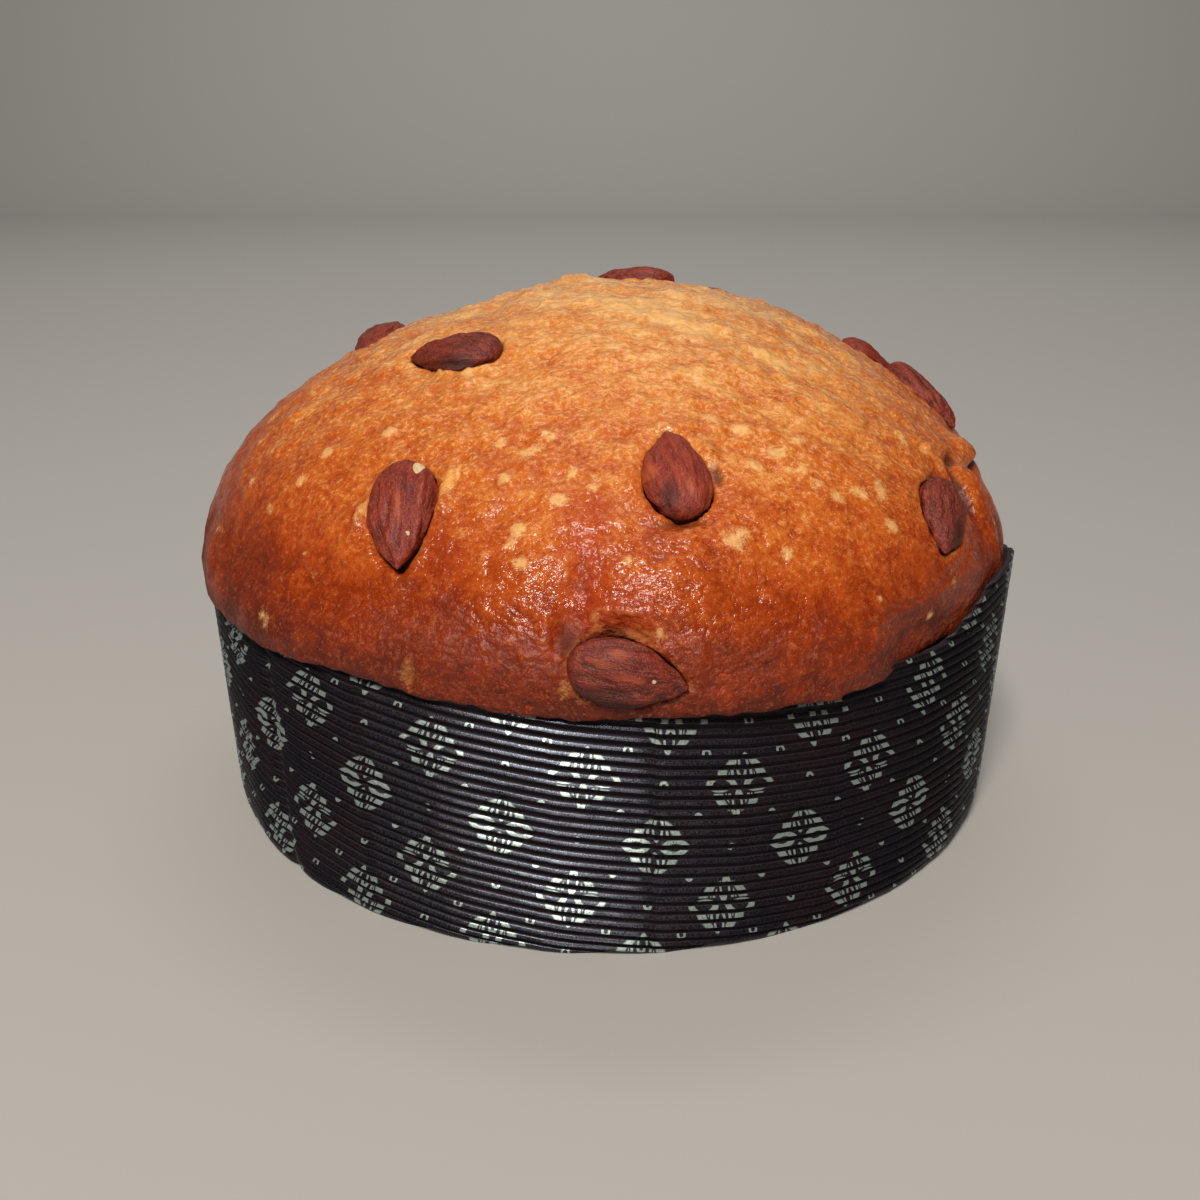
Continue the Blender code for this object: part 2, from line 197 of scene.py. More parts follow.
# Small folds, lips and cracks of the crust: turn, rise, half sizes round and up in mm, height in mm
FOLDS = (
    (1.2, 6.7, 5.2, 1.8, -1.7), (0.6, 9.3, 6.5, 1.0, 1.0), (-4.9, 5.8, 1.6, 3.0, -1.2),
    (9.6, 4.4, 1.4, 2.2, 0.7), (-6.8, 7.4, 1.2, 2.8, 0.6), (11.0, 34.2, 5.0, 0.7, 0.8),
    (16.8, 30.2, 0.8, 3.0, 0.9), (16.3, 25.2, 0.9, 2.8, -1.5), (9.2, 18.9, 4.4, 1.0, -1.4),
    (3.2, 20.8, 3.6, 0.5, -0.7), (-37.0, 17.0, 1.0, 5.5, 0.6), (-25.0, 19.5, 0.9, 5.0, 0.5),
    (67.5, 18.2, 3.0, 1.1, -2.3), (63.2, 14.6, 1.1, 3.6, -2.3), (61.4, 20.5, 1.0, 4.5, 1.2),
    (57.2, 18.0, 2.4, 0.9, -1.5), (75.0, 14.0, 5.5, 1.1, -2.4), (76.0, 18.2, 4.0, 2.2, 1.2),
    (69.0, 11.0, 1.8, 5.0, 0.9), (62.0, 11.5, 1.0, 4.6, -1.3), (58.0, 6.5, 0.9, 5.0, -1.0),
    (64.5, 4.5, 1.0, 5.5, 0.8), (67.5, 6.0, 0.9, 4.0, -1.0), (-22.3, 0.2, 0.9, 1.2, -1.5),
    (-55.0, 44.6, 5.0, 0.8, 0.7), (-60.0, 53.5, 5.0, 0.9, -0.4), (-3.4, 13.0, 1.2, 6.0, -0.6),
    (0.2, 14.5, 1.0, 4.0, 0.35), (-9.0, 2.0, 1.2, 3.5, 0.5), (-160.0, 18.0, 5.0, 1.0, -0.8),
    (158.0, 24.0, 1.0, 4.0, -1.0), (-118.0, 22.0, 6.0, 0.8, -0.9), (115.0, 14.0, 0.9, 5.0, -0.9),
)
# Torn pale crumb: turn, rise, half sizes round and up in mm, how yellow
TORN = (
    (-25.3, 23.3, 1.4, 3.3, 1.0), (-36.8, 17.5, 0.8, 4.0, 0.5), (-22.8, 0.9, 1.1, 2.2, 0.1),
    (-1.7, 8.5, 0.9, 0.8, 0.3), (2.0, 6.6, 4.4, 1.5, 0.0), (2.2, 6.8, 0.8, 0.8, 0.6),
    (11.0, 34.6, 4.0, 0.6, 0.3), (16.8, 30.4, 0.8, 2.0, 0.3), (60.8, 20.5, 0.9, 3.6, 0.3),
    (-57.0, 45.2, 4.0, 0.6, 0.2), (-4.9, 0.7, 0.9, 1.3, 0.3),
)

# Height above the table and how dark the crust is there, 0 pale to 1 darkest: partly baked
# browner low down, partly painted shade on the low sides, which get less light
BAKE_AND_SHADE_HEIGHTS = (0.058, 0.062, 0.072, 0.083, 0.096, 0.110, 0.124)
BAKE_AND_SHADE_TONES = (1.0, 0.90, 0.78, 0.58, 0.36, 0.20, 0.05)
# Painted light: the crust is made paler round the right shoulder, which lies away from the light
PAINTED_LIGHT_SHOULDER = 0.06
SHOULDER_TURN = np.radians(48.0)
SHOULDER_HALF = np.radians(24.0)

# Colours, from light to deeply baked, and of the marks on the crust and the almonds
CRUST_SHADES = (
    (0.0, "#edb36c"), (0.17, "#d98a41"), (0.35, "#c46423"), (0.55, "#ab4715"),
    (0.75, "#862c06"), (0.93, "#681e02"), (1.0, "#5a1701"),
)
# Pale sugar grains, partly painted glints
SUGAR_AND_GLINT_COLOUR = "#f0c083"
HOLLOW_COLOUR = "#a83c12"
# Painted shade in the crust's clefts and in the gaps round the almonds
PAINTED_CLEFT_SHADE_COLOUR = "#54200d"
RUDDY_COLOUR = "#a8381a"
HALO_COLOUR = "#d9924a"
BLISTER_COLOUR = "#ecb974"
CRUMB_COLOUR = "#a9642f"
YELLOW_CRUMB_COLOUR = "#ebae5c"
ALMOND_SHADES = (
    (0.08, "#290806"), (0.32, "#5b160e"), (0.56, "#87291a"), (0.80, "#a94327"), (1.0, "#c06b44"),
)
DUST_COLOUR = "#b8714f"
VEIN_COLOUR = "#b5653f"
RUST_COLOUR = "#b5562a"
# Dark patches, and the painted shade along almond 4's lower edge
STAIN_AND_SHADE_COLOUR = "#2a0f0c"
FLESH_PALE = "#c9a777"
FLESH_CREAM = "#f0dcb4"
PAPER_COLOUR = "#080508"
SPECKLE_COLOUR = "#140d13"
WORN_PAPER_COLOUR = "#210a0b"
# Painted shade for the valleys between the flutes
PAINTED_VALLEY_SHADE_COLOUR = "#1a0606"
INK_COLOUR = "#aab6b1"
PAPER_SHEEN = "#e3edff"
BARE_PAPER_COLOUR = "#140d0e"
BARE_FIBRE_COLOUR = "#2c1c1a"
BOARD_COLOUR = "#b2afaa"
ROOM_COLOUR = "#ebe8e3"
ROOM_STRENGTH = 0.09

# Lights: name, place, aim, size, power in watts, colour
LIGHTS = (
    ("overhead", (-0.17, -0.90, 1.20), (0.0, 0.0, 0.08), 0.34, 20.3, "#fffaf3"),
    ("front", (0.02, -1.35, 0.44), (0.0, 0.0, 0.07), 0.20, 2.5, "#fff8f0"),
    ("backdrop", (0.0, 0.70, 1.70), (0.0, 2.10, 0.50), 1.0, 14.0, "#ffffff"),
)
# The stage: half its width, its front edge, where the bend starts, the bend's radius, its top
STAGE_HALF = 5.0
STAGE_FRONT = -4.0
STAGE_BACK = 1.6
STAGE_BEND = 0.5
STAGE_TOP = 2.6

# The camera, placed and aimed as the photograph was taken
CAMERA_PLACE = (0.0, -0.32537, 0.16944)
CAMERA_DOWN = np.radians(21.458)
LENS_MM = 39.0
SENSOR_MM = 36.0
AXIS_OFF_MIDDLE = 10.4
IMAGE_SIDE = 1200.0


def wrapped(turn):
    """Turn in radians, brought between minus half a turn and half a turn."""
    return (turn + np.pi) % (2.0 * np.pi) - np.pi


def step_up(value, low, high):
    """0 below low, 1 above high and smooth between."""
    share = np.clip((value - low) / (high - low), 0.0, 1.0)
    return share * share * (3.0 - 2.0 * share)


def ripple(points, wavelength, seed, waves=24):
    """Random swell of about unit size: a sum of plane waves with random ways and lengths."""
    draw = np.random.default_rng(seed)
    ways = draw.normal(size=(waves, 3))
    ways /= np.linalg.norm(ways, axis=1, keepdims=True)
    pace = 2.0 * np.pi / (wavelength * draw.uniform(0.75, 1.35, size=(waves, 1)))
    start = draw.uniform(0.0, 2.0 * np.pi, waves)
    return np.sqrt(2.0 / waves) * np.cos(points @ (ways * pace).T + start).sum(axis=-1)


def dome_series():
    """Weights of cos(2k rise) whose sum passes through the five values of DOME_REACH."""
    count = len(DOME_REACH)
    rises = np.linspace(0.0, np.pi / 2.0, count)
    waves = np.cos(2.0 * np.outer(rises, np.arange(count)))
    return np.linalg.solve(waves, np.array(DOME_REACH))


DOME_WEIGHTS = dome_series()


def dome_reach(turn, rise):
    """Distance from the dome's centre to the crust: a sum of even cosines of the rise, times one
    plus the lobes and the lean, plus bell-shaped swellings, drawn in behind the paper at the right.
    """
    plain = sum(w * np.cos(2.0 * k * rise) for k, w in enumerate(DOME_WEIGHTS))
    level = np.cos(rise)
    lobes = sum(share * level ** n * np.cos(n * (turn - np.radians(first)))
                for n, share, first in LOBES)
    lean = TOP_LEAN * np.cos(turn - np.radians(TOP_LEAN_TURN)) * np.sin(2.0 * rise)
    reach = plain * (1.0 + lobes + lean)
    low = 1.0 - step_up(np.degrees(rise), *LIP_FADE)
    reach = reach + low * np.maximum(LIP_REACH - reach, 0.0)
    for at_turn, at_rise, round_half, up_half, height in RELIEF:
        across = wrapped(turn - np.radians(at_turn)) * level / np.radians(round_half)
        along = (rise - np.radians(at_rise)) / np.radians(up_half)
        reach = reach + height * np.exp(-across ** 2 - along ** 2)
    off = np.degrees(np.abs(wrapped(turn - np.radians(DRAWN_IN_TURN))))
    beside = 1.0 - step_up(off, DRAWN_IN_HALF - DRAWN_IN_FADE, DRAWN_IN_HALF + DRAWN_IN_FADE)
    below = 1.0 - step_up(np.degrees(rise), 0.0, DRAWN_IN_TOP)
    return reach - DRAWN_IN_DEPTH * beside * below


def dome_point(turn, rise):
    """Point of the crust at a turn and a rise."""
    reach = dome_reach(turn, rise)
    level = reach * np.cos(rise)
    height = DOME_CENTRE_HEIGHT + reach * np.sin(rise)
    return np.stack([level * np.sin(turn), -level * np.cos(turn), height], axis=-1)


def unit(vectors):
    """The same directions with length one."""
    return vectors / np.maximum(np.linalg.norm(vectors, axis=-1, keepdims=True), 1e-12)


def dome_axes(turn, rise):
    """Unit vectors on the crust: to the right, up along it, and outwards."""
    small = 1e-3
    right = unit(dome_point(turn + small, rise) - dome_point(turn - small, rise))
    up = dome_point(turn, rise + small) - dome_point(turn, rise - small)
    outward = unit(np.cross(right, up))
    return right, np.cross(outward, right), outward


def rim_height(turn):
    """Height of the rim: level, with one long rise at the right."""
    degrees = np.degrees(wrapped(turn))
    raised = step_up(degrees, *RIM_CLIMB) - step_up(degrees, *RIM_FALL)
    return CASE_HEIGHT + RIM_RISE * raised


def wall_radius(height):
    """Radius of the case over its crests: a straight flare, drawn in at the crimped bottom."""
    flare = (CASE_RIM_RADIUS - CASE_BASE_RADIUS) * height / CASE_HEIGHT
    return CASE_BASE_RADIUS + flare - CRIMP_IN * np.exp(-np.maximum(height, 0.0) / CRIMP_HEIGHT)


def lip_rise(turn):
    """Rise at which the crust ends over the paper: nearly level, with slow waves."""
    waves = sum(size * np.cos(n * (turn - np.radians(first))) for n, size, first in LIP_WAVES)
    return np.arcsin((LIP_HEIGHT + waves - DOME_CENTRE_HEIGHT) / DOME_REACH[0])


def linear(colour):
    """Linear RGBA of an sRGB hex colour."""
    parts = [int(colour[i:i + 2], 16) / 255.0 for i in (1, 3, 5)]
    return [c / 12.92 if c <= 0.04045 else ((c + 0.055) / 1.055) ** 2.4 for c in parts] + [1.0]


MATH = "ShaderNodeMath"
VECTOR = "ShaderNodeVectorMath"
NOISE = "ShaderNodeTexNoise"
RANGE = "ShaderNodeMapRange"
RAMP = "ShaderNodeValToRGB"
BUMP = "ShaderNodeBump"
ATTRIBUTE = "ShaderNodeAttribute"
# A mix of two colours, with its settings
MIX = "ShaderNodeMix"
COLOURS = {"out": "Result", "data_type": "RGBA"}


def feed(tree, node, inputs):
    """Links or sets a node's inputs, by name or in their order. A text is an sRGB hex colour."""
    for place, value in inputs.items() if isinstance(inputs, dict) else enumerate(inputs):
        if isinstance(value, bpy.types.NodeSocket):
            tree.links.new(value, node.inputs[place])
        else:
            colour = isinstance(value, str)
            node.inputs[place].default_value = linear(value) if colour else value


def add_node(tree, kind, inputs=(), out=0, shades=(), **settings):
    """Adds a node with its settings and inputs, and returns one output. Shades are the places
    and colours of a colour ramp.
    """
    made = tree.nodes.new(kind)
    for name, value in settings.items():
        setattr(made, name, value)
    feed(tree, made, inputs)
    if shades:
        stops = made.color_ramp
        while len(stops.elements) < len(shades):
            stops.elements.new(0.5)
        for stop, (place, colour) in zip(stops.elements, shades):
            stop.position = place
            stop.color = linear(colour)
    return made.outputs[out]


def new_material(name):
    """A material, with the calls that add a node to it and that feed its Principled shader."""
    made = bpy.data.materials.new(name)
    made.use_nodes = True
    tree = made.node_tree
    return made, partial(add_node, tree), partial(feed, tree, tree.nodes["Principled BSDF"])


def new_piece(name, points, faces, finishes, replaced):
    """A smooth mesh piece that rides on the loaf's one body and stands for a CAD node."""
    mesh = bpy.data.meshes.new(name)
    mesh.from_pydata(points.tolist(), [], faces)
    mesh.update()
    mesh.shade_smooth()
    made = bpy.data.objects.new(name, mesh)
    bpy.context.scene.collection.objects.link(made)
    for finish in finishes:
        mesh.materials.append(finish)
    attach(made, "root")
    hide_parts(*replaced)
    return made


def give_points(piece, fields):
    """Stores one number a point, or one vector a point, as named attributes."""
    for name, values in fields.items():
        vector = values.ndim == 2
        made = piece.data.attributes.new(name, "FLOAT_VECTOR" if vector else "FLOAT", "POINT")
        kind = "vector" if vector else "value"
        made.data.foreach_set(kind, values.astype(np.float32).ravel())


def quads(rows, columns, closed=True):
    """Quads over a grid of points stored row by row, its columns closed round or open."""
    strips = columns if closed else columns - 1
    row, column = np.meshgrid(np.arange(rows - 1), np.arange(strips), indexing="ij")
    after = (column + 1) % columns
    low = row * columns
    high = low + columns
    corners = [low + column, low + after, high + after, high + column]
    return np.stack(corners, axis=-1).reshape(-1, 4)


def fan(loop, middle):
    """Triangles from each two neighbours on a closed loop of points to a middle point."""
    return np.stack([loop, np.roll(loop, -1), np.full(len(loop), middle)], axis=1).tolist()


def outwards(piece, doubled=0.0):
    """Merges points of a closed mesh closer than a length, and turns all its faces outwards."""
    shape = bmesh.new()
    shape.from_mesh(piece.data)
    if doubled:
        bmesh.ops.remove_doubles(shape, verts=shape.verts, dist=doubled)
    bmesh.ops.recalc_face_normals(shape, faces=shape.faces)
    shape.to_mesh(piece.data)
    shape.free()


# Almonds


def almond_frame(number):
    """Axes, middle and scale of an almond: X to its tip, Z along the crust's outward normal."""
    turn, rise, tip_turn, scale, sink = ALMONDS[number]
    turn, rise, tip_turn = np.radians(turn), np.radians(rise), np.radians(tip_turn)
    right, up, outward = dome_axes(np.array(turn), np.array(rise))
    along = right * np.cos(tip_turn) + up * np.sin(tip_turn)
    axes = np.stack([along, np.cross(outward, along), outward])
    return axes, dome_point(turn, rise) - outward * sink, scale


def almond_swell(share):
    """Half the width at a share of the length, 1 at the widest place."""
    widest = ALMOND_ROUND_END / (ALMOND_ROUND_END + ALMOND_TIP_END)
    peak = widest ** ALMOND_ROUND_END * (1.0 - widest) ** ALMOND_TIP_END
    return share ** ALMOND_ROUND_END * (1.0 - share) ** ALMOND_TIP_END / peak


def almond_outline(scale):
    """Points of an almond's widest outline in its own X and Y."""
    share = (1.0 - np.cos(np.linspace(0.0, np.pi, OUTLINE_POINTS))) / 2.0
    x = (share - 0.5) * ALMOND_SIZE[0] * scale
    y = 0.5 * ALMOND_SIZE[1] * scale * almond_swell(share)
    return np.concatenate([np.stack([x, y], axis=1), np.stack([x, -y], axis=1)])


def spots_on(number, spots, local, share, side):
    """How much each point lies in the named spots of one almond, 1 in the middle and 0 outside."""
    found = np.zeros(len(local))
    for which, at_share, at_side, half_long, half_wide in spots:
        if which == number + 1:
            off_long = (share - at_share) * ALMOND_SIZE[0] / (half_long * MM)
            off_wide = (side - at_side) * 0.5 * ALMOND_SIZE[1] / (half_wide * MM)
            found = np.maximum(found, 1.0 - 0.5 * (off_long ** 2 + off_wide ** 2))
    return np.clip(found, 0.0, 1.0)


def make_almond(number, finish):
    """One almond: rings of an ellipse along its length, with grooves that run from end to end.

    At a share s of the length and an angle a round it, y goes as swell(s) cos a and z as
    swell(s) to the power ALMOND_FLATTER times sin a. The grooves are a swell of waves that is
    long along the almond and short across it.
    """
    axes, middle, scale = almond_frame(number)
    share = (1.0 - np.cos(np.linspace(0.0, np.pi, ALMOND_RINGS + 2)[1:-1])) / 2.0
    angle = np.arange(ALMOND_SIDES) * 2.0 * np.pi / ALMOND_SIDES
    share, angle = np.meshgrid(share, angle, indexing="ij")
    swell = almond_swell(share)
    length, width, thickness = ALMOND_SIZE
    local = np.stack([
        (share - 0.5) * length,
        0.5 * width * swell * np.cos(angle),
        0.5 * thickness * swell ** ALMOND_FLATTER * np.sin(angle),
    ], axis=-1).reshape(-1, 3)
    local = np.concatenate([local, [[-0.5 * length, 0.0, 0.0], [0.5 * length, 0.0, 0.0]]])
    side = np.append(swell * np.cos(angle), [0.0, 0.0])
    share = np.append(share, [0.0, 1.0])

    waves = [ripple(local * np.array([stretch, 1.0, 1.0]), wavelength * MM, seed + number)
             for wavelength, stretch, _, seed in ALMOND_WAVES]
    relief = sum(row[2] * MM * wave for row, wave in zip(ALMOND_WAVES, waves)) - ALMOND_INSET
    fade = np.sqrt(np.clip(4.0 * share * (1.0 - share), 0.0, 1.0))
    outward = unit(local * np.array([0.25, 1.0, 1.6]))
    shaped = local + outward * (relief * fade)[:, None]

    around = np.arange(ALMOND_SIDES)
    first = ALMOND_RINGS * ALMOND_SIDES
    faces = quads(ALMOND_RINGS, ALMOND_SIDES).tolist()
    faces += fan(around[::-1], first) + fan(first - ALMOND_SIDES + around, first + 1)
    name = "%02d" % (number + 1)
    nut = new_piece("nut_" + name, middle + scale * shaped @ axes, faces, [finish],
                    ["almond_" + name])
    give_points(nut, {
        "nut": local + 0.05 * number,
        "toast": np.full(len(local), TOAST[number]),
        "groove": np.clip(0.5 + 0.28 * waves[0], 0.0, 1.0),
        "chip": spots_on(number, CHIPS, local, share, side),
        "stain_and_shade": spots_on(number, STAINS_AND_SHADE, local, share, side),
        "rust": spots_on(number, RUSTS, local, share, side),
    })


def almond_skin():
    """Toasted almond skin: papery, red-brown and finely streaked along the nut, darker in its
    grooves and dusty on its ridges, with cream flesh where a flake of the skin is gone.
    """
    made, node, finish = new_material("toasted almond skin")
    where = node(ATTRIBUTE, out="Vector", attribute_name="nut")
    names = ("toast", "groove", "chip", "stain_and_shade", "rust")
    toast, groove, chip, stain_and_shade, rust = [
        node(ATTRIBUTE, out="Fac", attribute_name=name) for name in names]
    along = node(VECTOR, (where, (0.17, 1.0, 1.0)), operation="MULTIPLY")
    streaks = node(NOISE, {"Vector": along, "Scale": 1.0 / (0.75 * MM), "Detail": 5.0,
                           "Roughness": 0.62, "Distortion": 0.5})
    blotch = node(NOISE, {"Vector": where, "Scale": 1.0 / (5.0 * MM), "Detail": 2.0})
    specks = node(NOISE, {"Vector": where, "Scale": 1.0 / (0.34 * MM), "Detail": 1.0})

    tone = 0.17
    for pattern, weight in (
            (groove, 0.20), (streaks, 0.28), (specks, 0.24), (blotch, 0.18), (toast, -0.28)):
        tone = node(MATH, (pattern, weight, tone), operation="MULTIPLY_ADD")
    skin = node(RAMP, {"Fac": tone}, out="Color", shades=ALMOND_SHADES)
    # Pale dust on the fine specks, and thin pale lines where the streaks pass their middle value
    dusty = node(RANGE, (specks, 0.56, 0.74, 0.0, 0.38))
    vein = node(MATH, (streaks, 0.53), operation="SUBTRACT")
    vein = node(MATH, (vein,), operation="ABSOLUTE")
    vein = node(RANGE, (vein, 0.022, 0.006, 0.0, 0.40))
    warm = node(MATH, (blotch, 0.8, rust), operation="MULTIPLY_ADD")
    warm = node(RANGE, (warm, 0.78, 1.30, 0.0, 0.48))
    # Painted shade along almond 4's lower edge, and dark patches on the other almonds
    dark = node(MATH, (stain_and_shade, 0.75), operation="MULTIPLY")
    ragged = node(MATH, (blotch, 0.5, chip), operation="MULTIPLY_ADD")
    bare = node(RANGE, (ragged, 0.72, 0.78))
    flesh = node(MIX, {"Factor": streaks, "A": FLESH_PALE, "B": FLESH_CREAM}, **COLOURS)
    for share, colour in ((dusty, DUST_COLOUR), (vein, VEIN_COLOUR), (warm, RUST_COLOUR),
                          (dark, STAIN_AND_SHADE_COLOUR), (bare, flesh)):
        skin = node(MIX, {"Factor": share, "A": skin, "B": colour}, **COLOURS)

    rough = node(RANGE, (streaks, 0.3, 0.7, 0.40, 0.60))
    height = node(MATH, (bare, -0.5, streaks), operation="MULTIPLY_ADD")
    height = node(MATH, (specks, 0.3, height), operation="MULTIPLY_ADD")
    bump = node(BUMP, {"Height": height, "Strength": 0.9, "Distance": 0.45 * MM}, out="Normal")
    finish({"Base Color": skin, "Roughness": rough, "Normal": bump, "IOR": 1.42})
    return made


# Bread


def disk_grid(circles):
    """A square grid bent into a disk: the square ring k of 8k points becomes the circle k.

    Gives each point's circle, its turn, and the points of the outermost circle in order.
    """
    steps = np.arange(-circles, circles + 1)
    i, j = np.meshgrid(steps, steps, indexing="ij")
    k = np.maximum(np.abs(i), np.abs(j))
    sides = [(j == -k) & (i < k), (i == k) & (j < k), (j == k) & (i > -k)]
    place = np.select(sides, [i + k, 3 * k + j, 5 * k - i], 7 * k - j)
    turn = 2.0 * np.pi * place / np.maximum(8 * k, 1)
    k, turn, place = k.ravel(), turn.ravel(), place.ravel()
    outermost = np.flatnonzero(k == circles)
    outermost = outermost[np.argsort(place[outermost] % (8 * circles))]
    return k, turn, outermost


def even_rises(circles):
    """Share of the way from the top to the lip for each circle, evenly spaced along the crust."""
    share = np.linspace(0.0, 1.0, 400)
    rise = np.pi / 2.0 * (1.0 - share)
    reach = sum(w * np.cos(2.0 * n * rise) for n, w in enumerate(DOME_WEIGHTS))
    line = np.stack([reach * np.cos(rise), reach * np.sin(rise)], axis=1)
    run = np.concatenate([[0.0], np.cumsum(np.linalg.norm(np.diff(line, axis=0), axis=1))])
    return np.interp(np.linspace(0.0, run[-1], circles + 1), run, share)


def pocket_fields(points, number):
    """Crust points' distance to one almond's outline, negative inside it, the way along which
    that distance grows, and the almond's scale.
    """
    axes, middle, scale = almond_frame(number)
    local = (points - middle) @ axes.T
    outline = almond_outline(scale)
    apart = local[:, None, :2] - outline[None]
    nearest = np.argmin((apart ** 2).sum(axis=2), axis=1)
    away = apart[np.arange(len(local)), nearest]
    far = np.linalg.norm(away, axis=1)
    share = np.clip(local[:, 0] / (ALMOND_SIZE[0] * scale) + 0.5, 0.0, 1.0)
    inside = np.abs(local[:, 1]) < 0.5 * ALMOND_SIZE[1] * scale * almond_swell(share)
    sign = np.where(inside, -1.0, 1.0)
    way = (away * sign[:, None] / np.maximum(far, 1e-9)[:, None]) @ axes[:2]
    return far * sign, way, scale


def crust_relief(points, rise):
    """Fine height of the crust: slow swells and short wrinkles, stronger towards the top."""
    upper = step_up(np.degrees(rise), 6.0, 34.0)
    flattened = points * np.array([1.0, 1.0, 1.8])
    height = 0.22 * MM * ripple(points, 26.0 * MM, 1) - 0.20 * MM
    for wavelength, low, growth, seed in CRUST_WAVES:
        height += (low + growth * upper) * MM * ripple(flattened, wavelength * MM, seed)
    return height


def blister_field(points):
    """How much each point lies on a pale blister: each is three bells close together, at placed
    and loose places, with a seeded draw for the loose ones and for the bells.
    """
    draw = np.random.default_rng(7)
    spots = [(t, r, s, 1.0) for t, r, s in BLISTERS]
    for _ in range(LOOSE_BLISTERS):
        rise = np.degrees(np.arcsin(draw.uniform(0.10, 0.85)))
        turn = draw.uniform(-180.0, 180.0)
        spots.append((turn, rise, draw.uniform(0.6, 1.5), draw.uniform(0.3, 0.9)))
    found = np.zeros(len(points))
    for turn, rise, half, strength in spots:
        turn, rise = np.array(np.radians(turn)), np.array(np.radians(rise))
        right, up, _ = dome_axes(turn, rise)
        for _ in range(3):
            shift = draw.normal(size=2) * 0.55 * half * MM
            away = points - dome_point(turn, rise) - right * shift[0] - up * shift[1]
            off = np.linalg.norm(away, axis=1) / (0.62 * half * MM)
            found = found + strength * draw.uniform(0.5, 1.0) * np.exp(-0.5 * off ** 2)
    return np.minimum(found, 1.2)


def patch_field(points, patches):
    """How much each point lies in oval patches of the crust, and the last value of the nearest."""
    found = np.zeros(len(points))
    value = np.zeros(len(points))
    for turn, rise, round_half, up_half, last in patches:
        turn, rise = np.array(np.radians(turn)), np.array(np.radians(rise))
        right, up, _ = dome_axes(turn, rise)
        away = points - dome_point(turn, rise)
        off = (away @ right / (round_half * MM)) ** 2 + (away @ up / (up_half * MM)) ** 2
        here = np.exp(-0.5 * off)
        value = np.where(here > found, last, value)
        found = np.maximum(found, here)
    return found, value


